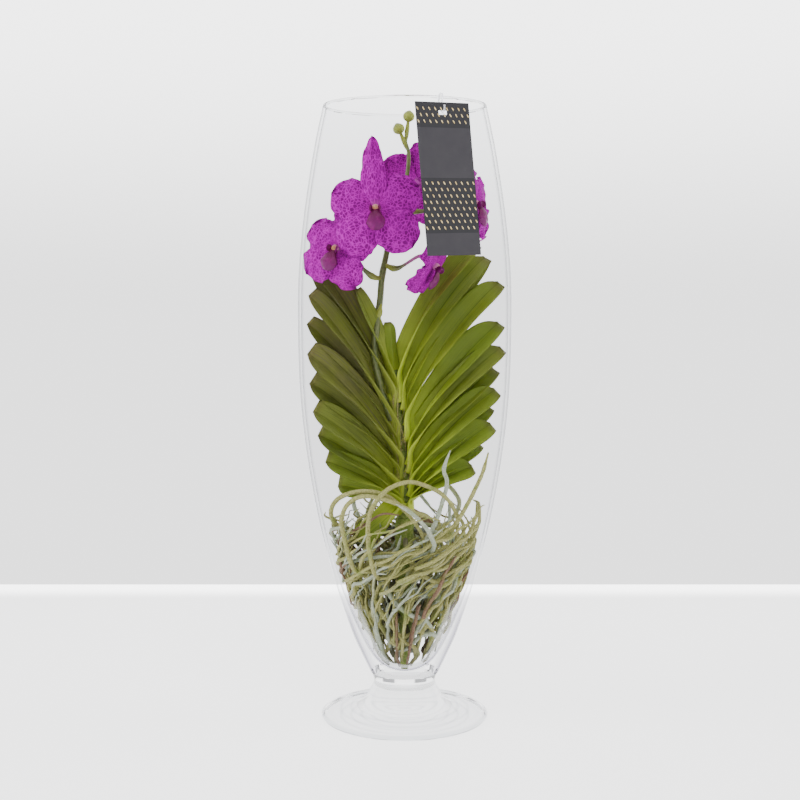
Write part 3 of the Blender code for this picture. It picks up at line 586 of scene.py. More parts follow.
def strap_leaf(plan, given):
    """A leaf folded along its rib, which follows a bend from its root to its tip."""

    def place(across, along):
        root, bend, tip = given["Root"], given["Bend"], given["Tip"]
        back = 1 - along
        rib = root * (back * back) + bend * (2 * along * back) + tip * (along * along)
        way = ((bend - root) * back + (tip - bend) * along).unit()
        turn = given["Twist"] * (along + 0.3).least(1.0)
        sockets = {"Vector": given["Flat"], "Axis": way, "Angle": turn}
        flat = plan.node("ShaderNodeVectorRotate", {"rotation_type": "AXIS_ANGLE"}, sockets)
        sideways = (flat - way * flat.dot(way)).unit()
        face = sideways.cross(way)
        slanted = along + given["Slant"] * across * along.rise(0.7, 0.95)
        over = ((slanted - given["Shoulder"]) / (1.02 - given["Shoulder"])).most(0.0)
        rounding = (1 - over ** given["Tip Shape"]).most(0.0).root()
        half = given["Width"] * 0.5 * (given["Base"] + along * 1.9).least(1.0) * rounding
        fold = given["Base Fold"] + (given["Tip Fold"] - given["Base Fold"]) * along
        channel = (across * across + 0.006).root() - 0.077
        beat = along * given["Waves"] * FULL_TURN + given["Phase"] + across * 1.3
        wave = given["Wave"] * beat.sine() * across * across * along.rise(0.1, 0.6)
        clasp = along.rise(0.17, 0.02)
        bend_round = across * 1.9
        wide = across * half * fold.cosine() * (1 - clasp) + bend_round.sine() * given["Clasp"] * clasp
        lift = channel * half * fold.sine() * (1 - clasp) - bend_round.cosine() * given["Clasp"] * clasp
        spot = rib + sideways * wide - face * (lift + wave)
        return spot, face, given["Thickness"] * 0.5 * edge_taper(across, along)

    return closed_blade(plan, given, 19, 56, place)


def round_tepal(plan, given):
    """A petal or sepal: a narrow claw, a broad blade with a waved edge, bowed and turned back."""

    def place(across, along):
        way, out = given["Way"].unit(), given["Out"].unit()
        sideways = way.cross(out)
        length, phase = given["Length"], given["Phase"]
        widen = given["Claw"] + (1 - given["Claw"]) * along.rise(0.02, given["Shoulder"])
        over = ((along - given["Shoulder"]) / (1 - given["Shoulder"])).most(0.0)
        narrow = (1 - over ** given["Tip Shape"]).most(0.0).root()
        scallop = 0.045 * (along * 19 + phase * 2 + across * 1.5).sine()
        scallop = scallop + 0.022 * (along * 43 + phase * 3 - across * 2.0).sine()
        ragged = 1 + scallop * along
        half = given["Width"] * 0.5 * widen * narrow * ragged
        bow = given["Bow"] * (along * math.pi).sine() - given["Curl"] * along**3.0
        edge = across * across
        beat = along * given["Waves"] * FULL_TURN + phase + across * 2.1
        ruffle = given["Ruffle"] * beat.sine() * edge * along.rise(0.15, 0.55)
        end = given["Ruffle"] * 0.8 * (across * 5.1 + phase * 1.7).sine() * along.rise(0.6, 1.0)
        lean = given["Skew"] * across * along
        lift = length * bow + given["Cup"] * half * edge + ruffle + end + lean * length
        spot = given["Middle"] + way * (length * along) + sideways * (across * half) + out * lift
        return spot, out, given["Thickness"] * 0.5 * edge_taper(across, along, 40.0, 16.0)

    return closed_blade(plan, given, 23, 36, place)


def round_stem(plan, given):
    """A round stem on each line of the base, as thick as the line says, with a knobbled skin."""
    line = plan.node("GeometryNodeMeshToCurve", {}, {"Mesh": given})
    line = store(plan, line, "along", plan.node("GeometryNodeSplineParameter")["Factor"])
    ring = plan.node("GeometryNodeCurvePrimitiveCircle", {}, {"Resolution": given["Sides"], "Radius": 1.0})
    thick = plan.node("GeometryNodeInputNamedAttribute", {}, {"Name": "thick"})
    sockets = {"Curve": line, "Profile Curve": ring, "Scale": thick, "Fill Caps": True}
    skin = plan.node("GeometryNodeCurveToMesh", {}, sockets)
    bumps = plan.noise(plan.node("GeometryNodeInputPosition"), given["Knob Scale"], 1.0) - 0.5
    offset = plan.node("GeometryNodeInputNormal") * (bumps * given["Knobs"] * 2.0)
    skin = plan.node("GeometryNodeSetPosition", {}, {"Geometry": skin, "Offset": offset})
    return plan.node("GeometryNodeSetShadeSmooth", {}, {"Geometry": skin})


def turned(plan, given):
    """The base's outline turned about the Z axis."""
    count = plan.node("GeometryNodeAttributeDomainSize", {}, {"Geometry": given})
    grid, across, along = grid_spots(plan, given["Sides"], count)
    row = (along * (count - 1) + 0.5).floor()
    settings = {"data_type": "FLOAT_VECTOR", "domain": "POINT"}
    here = plan.node("GeometryNodeInputPosition")
    point = plan.node("GeometryNodeSampleIndex", settings, {"Geometry": given, "Value": here, "Index": row})
    point = plan.split(point)
    angle = across * math.pi
    spot = plan.joint(point["X"] * angle.cosine(), point["X"] * angle.sine(), point["Z"])
    return weld(plan, plan.node("GeometryNodeSetPosition", {}, {"Geometry": grid, "Position": spot}))


def foil_rows(plan, given):
    """Small raised foil seeds in staggered rows on the card, each row leaning the other way."""
    counts = {"Size X": 1.0, "Size Y": 1.0, "Vertices X": given["Columns"], "Vertices Y": given["Rows"]}
    grid = plan.node("GeometryNodeMeshGrid", {}, counts)
    spot = plan.split(plan.node("GeometryNodeInputPosition"))
    row = ((spot["Y"] + 0.5) * (given["Rows"] - 1) + 0.5).floor()
    odd = row.modulo(2.0)
    sideways = (spot["X"] + (odd - 0.5) * 0.5 / (given["Columns"] - 1)) * given["Spread"]
    place = given["Middle"] + given["Across"] * sideways + given["Up"] * (spot["Y"] * given["Drop"])
    points = plan.node("GeometryNodeSetPosition", {}, {"Geometry": grid, "Position": place})
    sizes = {"Vertices": 12, "Radius": 1.0, "Depth": 2.0}
    seed = plan.node("GeometryNodeMeshCylinder", {}, sizes)
    sizes = {"Geometry": seed, "Scale": given["Seed"]}
    seed = plan.node("GeometryNodeTransform", {}, sizes)
    settings = {"primary_axis": "Z", "secondary_axis": "X"}
    sockets = {"Primary Axis": given["Out"], "Secondary Axis": given["Across"]}
    turn = plan.node("FunctionNodeAxesToRotation", settings, sockets)
    lean = plan.joint(0.0, 0.0, (odd - 0.5) * 2 * given["Lean"])
    lean = plan.node("FunctionNodeEulerToRotation", {}, {"Euler": lean})
    sockets = {"Rotation": turn, "Rotate By": lean}
    turn = plan.node("FunctionNodeRotateRotation", {"rotation_space": "LOCAL"}, sockets)
    sockets = {"Points": points, "Instance": seed, "Rotation": turn}
    return plan.node("GeometryNodeInstanceOnPoints", {}, sockets)


NOWHERE = (0.0, 0.0, 0.0)
LEAF_RULE = rule("strap_leaf", {
    "Root": NOWHERE, "Bend": NOWHERE, "Tip": NOWHERE, "Flat": (0.0, 1.0, 0.0), "Width": 0.03,
    "Twist": 0.8, "Base Fold": math.radians(56), "Tip Fold": math.radians(26), "Base": 0.85,
    "Clasp": 0.0086, "Shoulder": 0.78, "Tip Shape": 2.4, "Slant": 0.03, "Wave": 0.0012,
    "Waves": 1.6, "Phase": 0.0, "Thickness": LEAF_THICKNESS, "Tone": 0.0,
}, strap_leaf)
TEPAL_RULE = rule("round_tepal", {
    "Middle": NOWHERE, "Way": (0.0, 0.0, 1.0), "Out": (0.0, -1.0, 0.0), "Length": 0.04, "Width": 0.03,
    "Claw": 0.30, "Shoulder": 0.52, "Tip Shape": 2.3, "Bow": 0.06, "Curl": 0.10, "Cup": -0.12,
    "Ruffle": 0.0019, "Waves": 3.2, "Phase": 0.0, "Skew": 0.0, "Thickness": TEPAL_THICKNESS, "Tone": 0.0,
}, round_tepal)
STEM_RULE = rule("round_stem", {"Sides": 8, "Knobs": 0.0, "Knob Scale": 300.0}, round_stem)
TURNED_RULE = rule("turned", {"Sides": 96}, turned)
FOIL_RULE = rule("foil_rows", {
    "Middle": NOWHERE, "Across": (1.0, 0.0, 0.0), "Up": (0.0, 0.0, 1.0), "Out": (0.0, -1.0, 0.0),
    "Columns": 8, "Rows": 8, "Spread": 0.05, "Drop": 0.05, "Lean": 0.5, "Seed": (0.0006, 0.0017, 0.00005),
}, foil_rows)


# Finishes


def clear_glass(plan):
    """Clear glass. The thick base bends light. The thin wall and the flat of the foot let it straight
    through, with a sheen that gathers at their outlines. Lamps light what stands inside."""
    spot = plan.split(plan.spot())
    reach = (spot["X"] * spot["X"] + spot["Y"] * spot["Y"]).root()
    # The foot's outer rim is painted greyer: partly the tint of thick glass, partly a painted dark outline
    # standing in for what its refraction shows
    edge = reach.rise(THIN_FOOT_REACH, THIN_FOOT_REACH + 0.003) * spot["Z"].rise(0.012, 0.008)
    clear = plan.mix(edge, (0.985, 0.992, 0.990), (0.60, 0.63, 0.65))
    body = {"Base_Color": clear, "Roughness": 0.0, "IOR": 1.5, "Transmission_Weight": 1.0}
    thick = coated(plan, **body, Specular_Tint=(0.5, 0.5, 0.5))
    through = plan.let_through(WALL_TINT)
    see_through = plan.let_through(FOOT_TINT)
    sheen = plan.node("ShaderNodeBsdfGlossy", {}, {"Color": (0.92, 0.93, 0.94), "Roughness": 0.02})
    facing = plan.node("ShaderNodeLayerWeight", {}, {"Blend": 0.5})["Facing"]
    outline = facing.rise(0.66, 1.0)
    foot = spot["Z"].rise(0.012, 0.010)
    ringed = plan.let_through(RING_TINT)
    rings = (reach * FOOT_RINGS).sine().rise(0.2, 1.0) * reach.rise(0.079, 0.060)
    see_through = plan.blend(rings, see_through, ringed)
    # Painted shade: the thick base turns darker towards its outline, a painted dark outline standing in for
    # the dark things its refraction shows
    edge_shade_way = plan.let_through(EDGE_SHADE_TINT)
    base = spot["Z"].rise(0.135, 0.085) * (1 - foot)
    painted_edge_shade = base * facing.rise(0.48, 0.80) * 0.8
    clear_way = plan.blend(painted_edge_shade, through, edge_shade_way)
    clear_way = plan.blend(foot, clear_way, see_through)
    shine = outline * outline * 0.85 * (1 - foot * 0.6)
    glint = facing.rise(0.44, 0.50) * facing.rise(0.64, 0.58)
    shine = shine.most(base * glint * 0.34)
    thin = plan.blend(shine, clear_way, sheen)
    flat_foot = spot["Z"].rise(THIN_FOOT + THIN_STEP, THIN_FOOT)
    flat_foot = flat_foot * reach.rise(THIN_FOOT_REACH, THIN_FOOT_REACH - 1.5 * THIN_STEP)
    wall = spot["Z"].rise(THIN_WALL_FROM, THIN_WALL_FROM + THIN_STEP)
    wall = wall * spot["Z"].rise(THIN_WALL_TO + THIN_STEP, THIN_WALL_TO)
    is_thin = wall.most(flat_foot)
    seen = plan.blend(is_thin, thick, thin)
    path = plan.node("ShaderNodeLightPath")
    lets_lamps_in = path["Is Shadow Ray"].most(path["Is Diffuse Ray"])
    return plan.blend(lets_lamps_in, seen, through)


def leaf_skin(plan):
    """A leathery strap leaf: fine veins along it, a tone of its own, and painted shade on half its fold and
    along its rib.
    """
    place = plan.map_spot()
    across, along = place["X"], place["Y"]
    spot, tone = plan.spot(), plan.own("tone")
    fresh = plan.mix(along.rise(0.05, 0.75), (0.740, 0.880, 0.090), (0.215, 0.295, 0.034))
    olive = plan.mix(along.rise(0.05, 0.75), (0.420, 0.470, 0.070), (0.158, 0.142, 0.050))
    colour = plan.mix(tone, fresh, olive)
    blotch = plan.noise(spot, 38.0, 3.0)
    colour = plan.mix(blotch.rise(0.42, 0.75) * 0.45, colour, (0.190, 0.230, 0.012))
    lines = plan.joint(across * 46.0 + tone * 31.0, along * 2.2)
    streak = plan.noise(lines, 1.0, 2.0, 0.6)
    colour = plan.mix(streak.rise(0.45, 0.80) * 0.40, colour, (0.260, 0.310, 0.030))
    colour = plan.mix(streak.rise(0.50, 0.26) * (0.40 + 0.45 * tone), colour, (0.034, 0.042, 0.005))
    lines = plan.joint(across * 21.0 - tone * 17.0, along * 1.3)
    dusk = plan.noise(lines, 1.0, 2.0, 0.5).rise(0.52, 0.66) * tone.rise(0.4, 0.9)
    colour = plan.mix(dusk * 0.6, colour, (0.120, 0.095, 0.085))
    # Painted shade: the half of the folded blade on one side of the rib is darker, as if that side of the
    # fold were turned from the light
    colour = plan.mix(across.rise(0.46, 0.54) * (0.30 - 0.1 * along), colour, (0.075, 0.115, 0.018))
    # Painted shade: a dark line along the rib, where the fold's crease lies in shade. The rib also raises the
    # relief below
    rib = 1 - ((across - 0.5).size() * 40.0).least(1.0)
    colour = plan.mix(rib * 0.55, colour, (0.045, 0.060, 0.006))
    colour = plan.mix(along.rise(0.93, 1.0) * 0.5, colour, (0.140, 0.110, 0.050))
    relief = plan.bump(streak + rib * 0.6, 0.35, 0.0006)
    gloss = 0.34 + 0.16 * blotch
    return coated(plan, Base_Color=colour, Roughness=gloss, Normal=relief, Specular_IOR_Level=0.12)


def petal_skin(plan):
    """A magenta petal with a paler net of veins, paler at its claw and its edge."""
    place = plan.map_spot()
    across, along = place["X"] - 0.5, place["Y"]
    spot, tone = plan.spot(), plan.own("tone")
    sway = plan.noise(spot, 160.0, 1.0) - 0.5
    sheet = plan.joint(across * 13.0 + sway * 1.2, along * 15.0 + sway * 0.8, tone * 40.0)
    settings = {"feature": "DISTANCE_TO_EDGE", "voronoi_dimensions": "3D"}
    cells = plan.node("ShaderNodeTexVoronoi", settings, {"Vector": sheet, "Scale": 1.0, "Randomness": 0.85})
    net = 1 - cells.rise(0.02, 0.15)
    patch = plan.noise(spot, 90.0, 2.0)
    deep = plan.mix(patch.rise(0.35, 0.70), (0.19, 0.000, 0.165), (0.30, 0.000, 0.27))
    colour = plan.mix(net * 0.66, deep, (0.78, 0.000, 0.70))
    veins = (across * 34.0 + sway).cosine().rise(0.86, 1.0) * along.rise(0.75, 0.2)
    colour = plan.mix(veins * 0.35, colour, (0.30, 0.000, 0.25))
    colour = plan.mix(along.rise(0.14, 0.0) * 0.5, colour, (0.70, 0.22, 0.56))
    rim = (across.size() * 2.0).rise(0.88, 1.0).most(along.rise(0.92, 1.0))
    colour = plan.mix(rim * 0.35, colour, (0.56, 0.000, 0.53))
    relief = plan.bump(net * 0.5 + veins, 0.30, 0.0005)
    gloss = 0.42 + 0.12 * patch
    return coated(plan, Base_Color=colour, Roughness=gloss, Normal=relief, Specular_IOR_Level=0.04)


def lip_skin(plan):
    """A deep crimson purple lip, streaked along it and darker at its base."""
    place = plan.map_spot()
    across, along = place["X"] - 0.5, place["Y"]
    patch = plan.noise(plan.spot(), 260.0, 2.0)
    colour = plan.mix(along.rise(0.1, 0.9), (0.085, 0.000, 0.035), (0.15, 0.000, 0.10))
    colour = plan.mix(patch.rise(0.5, 0.75) * 0.4, colour, (0.30, 0.00, 0.18))
    streaks = (across * 44.0).cosine().rise(0.3, 1.0) * along.rise(0.9, 0.3)
    colour = plan.mix(streaks * 0.5, colour, (0.12, 0.000, 0.05))
    relief = plan.bump(streaks + patch * 0.4, 0.4, 0.0006)
    gloss = 0.36 + 0.1 * patch
    return coated(plan, Base_Color=colour, Roughness=gloss, Normal=relief, Specular_IOR_Level=0.3)


def column_skin(plan):
    """The pale pink column with its ochre cap."""
    along = plan.own("along")
    patch = plan.noise(plan.spot(), 420.0, 2.0)
    colour = plan.mix(along.rise(0.35, 0.75), (0.72, 0.22, 0.48), (0.72, 0.34, 0.16))
    colour = plan.mix(patch.rise(0.5, 0.7) * 0.5, colour, (0.80, 0.55, 0.45))
    return coated(plan, Base_Color=colour, Roughness=0.35 + 0.1 * patch, Normal=plan.bump(patch, 0.3, 0.0003))


def spike_skin(plan):
    """An olive green flower stalk, flushed pink where its tone is high."""
    spot, tone = plan.spot(), plan.own("tone")
    patch = plan.noise(spot, 240.0, 3.0)
    green = plan.mix(patch.rise(0.35, 0.65), (0.085, 0.110, 0.024), (0.135, 0.150, 0.045))
    colour = plan.mix(tone.rise(0.35, 0.9), green, (0.50, 0.10, 0.34))
    colour = plan.mix(tone.rise(0.0, -1.0), colour, (0.28, 0.31, 0.040))
    freckle = plan.noise(spot, 900.0, 1.0).rise(0.62, 0.70)
    colour = plan.mix(freckle * 0.4, colour, (0.10, 0.06, 0.03))
    relief = plan.bump(patch, 0.3, 0.0004)
    return coated(plan, Base_Color=colour, Roughness=0.38 + 0.14 * patch, Normal=relief, Coat_Weight=0.06)


def root_skin(plan):
    """Dry silver velamen, khaki or tan on some roots, with green showing through in places."""
    spot, tone = plan.spot(), plan.own("tone")
    grain = plan.noise(spot, 700.0, 3.0, 0.65)
    patch = plan.noise(spot, 75.0, 2.0)
    silver = plan.mix(grain.rise(0.3, 0.7), (0.31, 0.35, 0.24), (0.58, 0.63, 0.48))
    khaki = plan.mix(grain.rise(0.3, 0.7), (0.24, 0.24, 0.060), (0.50, 0.48, 0.19))
    tan = plan.mix(grain.rise(0.3, 0.7), (0.15, 0.085, 0.045), (0.30, 0.18, 0.11))
    colour = plan.mix(tone.rise(0.24, 0.36), silver, khaki)
    colour = plan.mix(tone.rise(0.86, 0.93), colour, tan)
    colour = plan.mix(patch.rise(0.55, 0.75) * 0.7, colour, (0.200, 0.270, 0.040))
    # Painted shade: roots close to the middle of the tangle are painted near black, as shade deep inside it
    place = plan.split(spot)
    reach = (place["X"] * place["X"] + place["Y"] * place["Y"]).root()
    colour = plan.mix(reach.rise(0.040, 0.012) * 0.8, colour, (0.035, 0.030, 0.030))
    relief = plan.bump(grain, 0.45, 0.0006)
    return coated(plan, Base_Color=colour, Roughness=0.62 + 0.2 * grain, Normal=relief)


def stem_skin(plan):
    """The old stem between the leaves, green under dry sheaths."""
    spot = plan.spot()
    grain = plan.noise(spot, 420.0, 4.0, 0.6)
    colour = plan.mix(grain.rise(0.4, 0.7), (0.130, 0.190, 0.020), (0.270, 0.300, 0.080))
    return coated(plan, Base_Color=colour, Roughness=0.55 + 0.2 * grain, Normal=plan.bump(grain, 0.6, 0.001))


def fibre_skin(plan):
    """Dry straw-coloured fibres of old sheaths."""
    grain = plan.noise(plan.spot(), 500.0, 2.0)
    colour = plan.mix(grain.rise(0.35, 0.7), (0.20, 0.16, 0.045), (0.46, 0.40, 0.17))
    return coated(plan, Base_Color=colour, Roughness=0.7 + 0.1 * grain, Normal=plan.bump(grain, 0.3, 0.0003))


def card_skin(plan):
    """Charcoal coated card with a fine grain, darker where the foil rows are printed."""
    middle, _, up, _ = tag_frame()
    spot = plan.spot()
    low = (spot - tuple(middle)).dot(tuple(up)) / TAG_HEIGHT
    bands = low.rise(0.331, 0.335) + low.rise(-0.357, -0.353) * low.rise(0.007, 0.003)
    grain = plan.noise(spot, 1400.0, 2.0)
    cloud = plan.noise(spot, 60.0, 2.0)
    colour = plan.mix(cloud, (0.030, 0.028, 0.034), (0.046, 0.043, 0.048))
    colour = plan.mix(bands * 0.75, colour, (0.012, 0.012, 0.014))
    relief = plan.bump(grain, 0.12, 0.0001)
    gloss = 0.46 + 0.12 * grain
    return coated(plan, Base_Color=colour, Roughness=gloss, Normal=relief, Specular_IOR_Level=0.25)


def foil_skin(plan):
    """Warm gold foil with slight wear."""
    wear = plan.noise(plan.spot(), 900.0, 3.0)
    colour = plan.mix(wear.rise(0.35, 0.7), (0.50, 0.36, 0.14), (0.80, 0.66, 0.38))
    return coated(plan, Base_Color=colour, Roughness=0.34 + 0.2 * wear, Metallic=0.85)


def clear_plastic(plan):
    plastic = coated(plan, Base_Color=(0.93, 0.93, 0.96), Roughness=0.08, IOR=1.46, Transmission_Weight=0.85)
    path = plan.node("ShaderNodeLightPath")
    through = plan.let_through()
    return plan.blend(path["Is Shadow Ray"], plastic, through)


def studio_paper(plan):
    """The pale floor, brighter in a band along its far edge. It lights the glass more than the plant."""
    spot = plan.spot()
    cloud = plan.noise(spot, 2.0, 2.0)
    depth = plan.split(spot)["Y"]
    band = depth.rise(FLOOR_BACK - 0.09, FLOOR_BACK - 0.02)
    colour = plan.mix(cloud, (0.74, 0.74, 0.75), (0.80, 0.80, 0.81))
    glow = plan.mix(band, (1.0, 1.0, 1.0), (2.2, 2.2, 2.2))
    path = plan.node("ShaderNodeLightPath")
    is_light = path["Is Diffuse Ray"].most(path["Is Reflection Ray"] * 0.4)
    paper = {"Base_Color": colour, "Roughness": 0.55, "Emission_Color": glow}
    bright = coated(plan, **paper, Emission_Strength=PAPER_GLOW)
    dim = coated(plan, **paper, Emission_Strength=PAPER_LIGHT)
    return plan.blend(is_light, bright, dim)


# Pieces


def inner_radius(height):
    """The clear radius inside the vase at a height."""
    body = [p for p in VASE_OUTLINE if p[1] >= INNER_WALL_FROM]
    wall = [(r - WALL, z) for r, z in body]
    inside = [*reversed(INNER_BOWL), *wall]
    for (r0, z0), (r1, z1) in zip(inside, inside[1:]):
        if z0 <= height <= z1:
            return (r0 + (r1 - r0) * (height - z0) / (z1 - z0)) * math.cos(math.pi / SOLID_SIDES)
    return 0.5 * inside[0][0] if height < inside[0][1] else wall[-1][0]


def outer_radius(height):
    body = [p for p in VASE_OUTLINE if p[1] >= BOWL_FROM]
    for (r0, z0), (r1, z1) in zip(body, body[1:]):
        if z0 <= height <= z1:
            return r0 + (r1 - r0) * (height - z0) / (z1 - z0)
    return body[-1][0]


def vase_profile():
    """The vase's section from the middle of its underside out, up, over the rim and down inside."""
    outside = smooth_points([(r, 0, z) for r, z in VASE_OUTLINE], 120)
    foot = [Vector((p.x, 0, max(0.0, p.z))) for p in smooth_points([(r, 0, z) for r, z in FOOT_RING], 26)]
    rim_middle = Vector((VASE_OUTLINE[-1][0] - 0.5 * WALL, 0, VASE_HEIGHT - 0.5 * WALL))
    turns = [math.pi * i / 8 for i in range(1, 8)]
    rim = [rim_middle + 0.5 * WALL * Vector((math.cos(a), 0, math.sin(a))) for a in turns]
    inner = [(r - WALL, 0, z) for r, z in reversed(VASE_OUTLINE) if z > INNER_BOWL[0][1]]
    inner += [(r, 0, z) for r, z in INNER_BOWL] + [(0.0095, 0, INNER_FLOOR + 0.0012), (0, 0, INNER_FLOOR)]
    return foot + outside + rim + smooth_points(inner, 90)


def make_vase():
    section = vase_profile()
    mesh = bpy.data.meshes.new("glass_vase")
    mesh.from_pydata([tuple(p) for p in section], [(i, i + 1) for i in range(len(section) - 1)], [])
    vase = grow("glass_vase", TURNED_RULE, finish("clear_glass", clear_glass), {"Sides": VASE_SIDES}, mesh)
    settle(vase, "glass", "vase")


def leaf_sizes(index, name):
    base, reach, height, turn, width, twist, bow, tone = LEAVES[name]
    stem = smooth_points(STEM, 20)
    root = min(stem, key=lambda p: abs(p.z - base))
    angle = math.radians(turn)
    tip = Vector((reach * math.cos(angle), reach * math.sin(angle), height))
    rise = tip - root
    out = Vector((rise.x, rise.y, 0))
    bend = root + 0.5 * rise + bow * (LEAF_BEND_RISE * UP * out.length - out)
    return {
        "Root": tuple(root), "Bend": tuple(bend), "Tip": tuple(tip),
        "Flat": (-math.sin(angle), math.cos(angle), 0.0), "Width": width, "Twist": math.radians(twist),
        "Phase": 1.7 * index, "Waves": 1.2 + 0.3 * (index % 4), "Tone": tone,
    }


def make_leaves():
    skin = finish("leaf_skin", leaf_skin)
    parts = [grow(name, LEAF_RULE, skin, leaf_sizes(i, name)) for i, name in enumerate(LEAVES)]
    settle(joined("strap_leaves", parts), "leaf", "leafy_stem")


def make_stem():
    path = smooth_points(STEM, 24)
    radii = [STEM_RADIUS * s for s in (1.0, 0.85, 0.8, 0.75, 0.7, 0.6, 0.45)]
    line = line_mesh("old_stem", [(path, radii, [0.0, 0.0])])
    sizes = {"Sides": 24, "Knobs": 0.0007, "Knob Scale": 160.0}
    stem = grow("old_stem", STEM_RULE, finish("stem_skin", stem_skin), sizes, line)
    settle(stem, "leaf", "leafy_stem")


def make_fibres():
    """Frayed dry fibres where the leaves' sheaths wrap the stem."""
    draw = random.Random(FIBRE_SEED)
    path = smooth_points(STEM, 40)
    lines = []
    for _ in range(FIBRES):
        start = path[draw.randrange(6, 34)]
        angle = -0.5 * math.pi + draw.uniform(-0.5, 0.5)
        away = Vector((math.cos(angle), math.sin(angle), 0))
        first = start + away * FIBRE_START
        length = draw.uniform(0.012, 0.040)
        drift = draw.uniform(-0.35, 0.35)
        ends = [
            first,
            first + length * 0.35 * (UP + drift * away.cross(UP)) + 0.0012 * away,
            first + length * 0.70 * (UP + 1.4 * drift * away.cross(UP)) + 0.0020 * away,
            first + length * (UP + 1.1 * drift * away.cross(UP)) + draw.uniform(0.001, 0.0055) * away,
        ]
        thick = draw.uniform(0.00022, 0.00042)
        lines.append((smooth_points(ends, 12), [thick, thick, 0.3 * thick], [0.0, 0.0]))
    mesh = line_mesh("sheath_fibres", lines)
    fibres = grow("sheath_fibres", STEM_RULE, finish("fibre_skin", fibre_skin), {"Sides": 5}, mesh)
    settle(fibres, "leaf")


def held_inside(path, radius):
    """The path, with each point drawn in to where a root clears the glass."""
    held = []
    for point in path:
        reach = math.hypot(point.x, point.y)
        scale = min(1.0, (inner_radius(point.z) - radius - 3 * GAP) / reach) if reach else 1.0
        held.append(Vector((point.x * scale, point.y * scale, point.z)))
    return held


def tangle_root(draw, index):
    """A root that leaves the crown, meets the glass and winds down and round inside it."""
    fall = (TANGLE_TOP - TANGLE_BOTTOM) * index / (TANGLE_ROOTS - 1)
    height = TANGLE_TOP - fall + draw.uniform(-TANGLE_STRAY, TANGLE_STRAY)
    turn = GOLDEN_TURN * index + draw.uniform(-0.2, 0.2)
    sweep = draw.choice((-1, 1)) * draw.uniform(1.2, 2.3)
    points = [Vector((TANGLE_START * math.cos(turn), TANGLE_START * math.sin(turn), height))]
    steps = 6
    start = height - TANGLE_DIP
    lowest = CROWN_BOTTOM + TANGLE_LOWEST + TANGLE_SPREAD * draw.random()
    stop = max(lowest, height - TANGLE_FALL - TANGLE_SPREAD * draw.random())
    for i in range(1, steps + 1):
        t = i / steps
        level = start + (stop - start) * t**1.2 + TANGLE_WAVE * math.sin(3 * t * math.pi + index)
        angle = turn + sweep * (t - 1 / steps)
        room = inner_radius(level) - ROOT_RADIUS - TANGLE_CLEAR
        reach = room * (TANGLE_REACH - TANGLE_SLACK * draw.random())
        if i == 1:
            reach *= TANGLE_FIRST_REACH
        points.append(Vector((reach * math.cos(angle), reach * math.sin(angle), level)))
    return points


def wound_root(draw, index):
    """A finer root, which climbs round the inside of the glass or, near its floor, runs steeply."""
    low = FINE_LOWEST + FINE_SPREAD * (index / FINE_ROOTS) ** FINE_CROWDING
    start = draw.uniform(0, FULL_TURN)
    slope = min(1.0, max(0.12, (low - WINDING_FROM) * 14))
    sweep = draw.uniform(0.7, 1.9) * slope
    climb = draw.uniform(0.024, 0.062) + 0.020 * (1 - slope)
    depth = draw.choice(FINE_DEPTHS)
    steps = 7
    points = []
    for i in range(steps + 1):
        t = i / steps
        level = min(FINE_HIGHEST, low + climb * t + draw.uniform(-0.003, 0.003))
        angle = start + sweep * t
        reach = (inner_radius(level) - FINE_CLEAR) * (depth + draw.uniform(-0.06, 0.04))
        points.append(Vector((reach * math.cos(angle), reach * math.sin(angle), level)))
    return points


def root_line(points, radius, tone, count=44):
    path = held_inside(smooth_points(points, count), ROOT_ROOM * radius)
    return path, [radius * share for share in ROOT_SHAPE], [tone, tone]


def make_roots():
    skin = finish("root_skin", root_skin)
    draw = random.Random(ROOT_SEED)
    lines = [root_line(p, ROOT_RADIUS, t, 64) for p, t in zip(SHOWN_ROOTS, SHOWN_TONES)]
    for i in range(TANGLE_ROOTS):
        lines.append(root_line(tangle_root(draw, i), ROOT_RADIUS * 1.05, (i * 0.618) % 0.85))
    sizes = {"Sides": 9, "Knobs": 0.00055, "Knob Scale": 190.0}
    thick_roots = grow("thick_roots", STEM_RULE, skin, sizes, line_mesh("thick_roots", lines))
    settle(thick_roots, "root", "roots")
    lines = []
    for i in range(FINE_ROOTS):
        radius = draw.choice(FINE_RADII)
        lines.append(root_line(wound_root(draw, i), radius, draw.random(), 34))
    sizes = {"Sides": 6, "Knobs": 0.00035, "Knob Scale": 260.0}
    fine_roots = grow("fine_roots", STEM_RULE, skin, sizes, line_mesh("fine_roots", lines))
    settle(fine_roots, "root", "roots")
    top = CROWN_TOP - GAP
    path = [Vector((0, 0, CROWN_BOTTOM + (top - CROWN_BOTTOM) * i / 24)) for i in range(25)]
    crown = line_mesh("root_crown", [(path, CROWN_RADII, [0.6, 0.6])])
    sizes = {"Sides": 20, "Knobs": 0.0012, "Knob Scale": 90.0}
    settle(grow("root_crown", STEM_RULE, finish("crown_skin", stem_skin), sizes, crown), "root", "roots")


def bloom_axes(name):
    """The directions across, up and out of a bloom's face."""
    turn, lift, roll = (math.radians(a) for a in BLOOMS[name][1:4])
    out = Vector((math.sin(turn) * math.cos(lift), -math.cos(turn) * math.cos(lift), math.sin(lift)))
    across = Vector((math.cos(turn), math.sin(turn), 0))
    up = out.cross(across)
    spin = Matrix.Rotation(roll, 3, out)
    return spin @ across, spin @ up, out


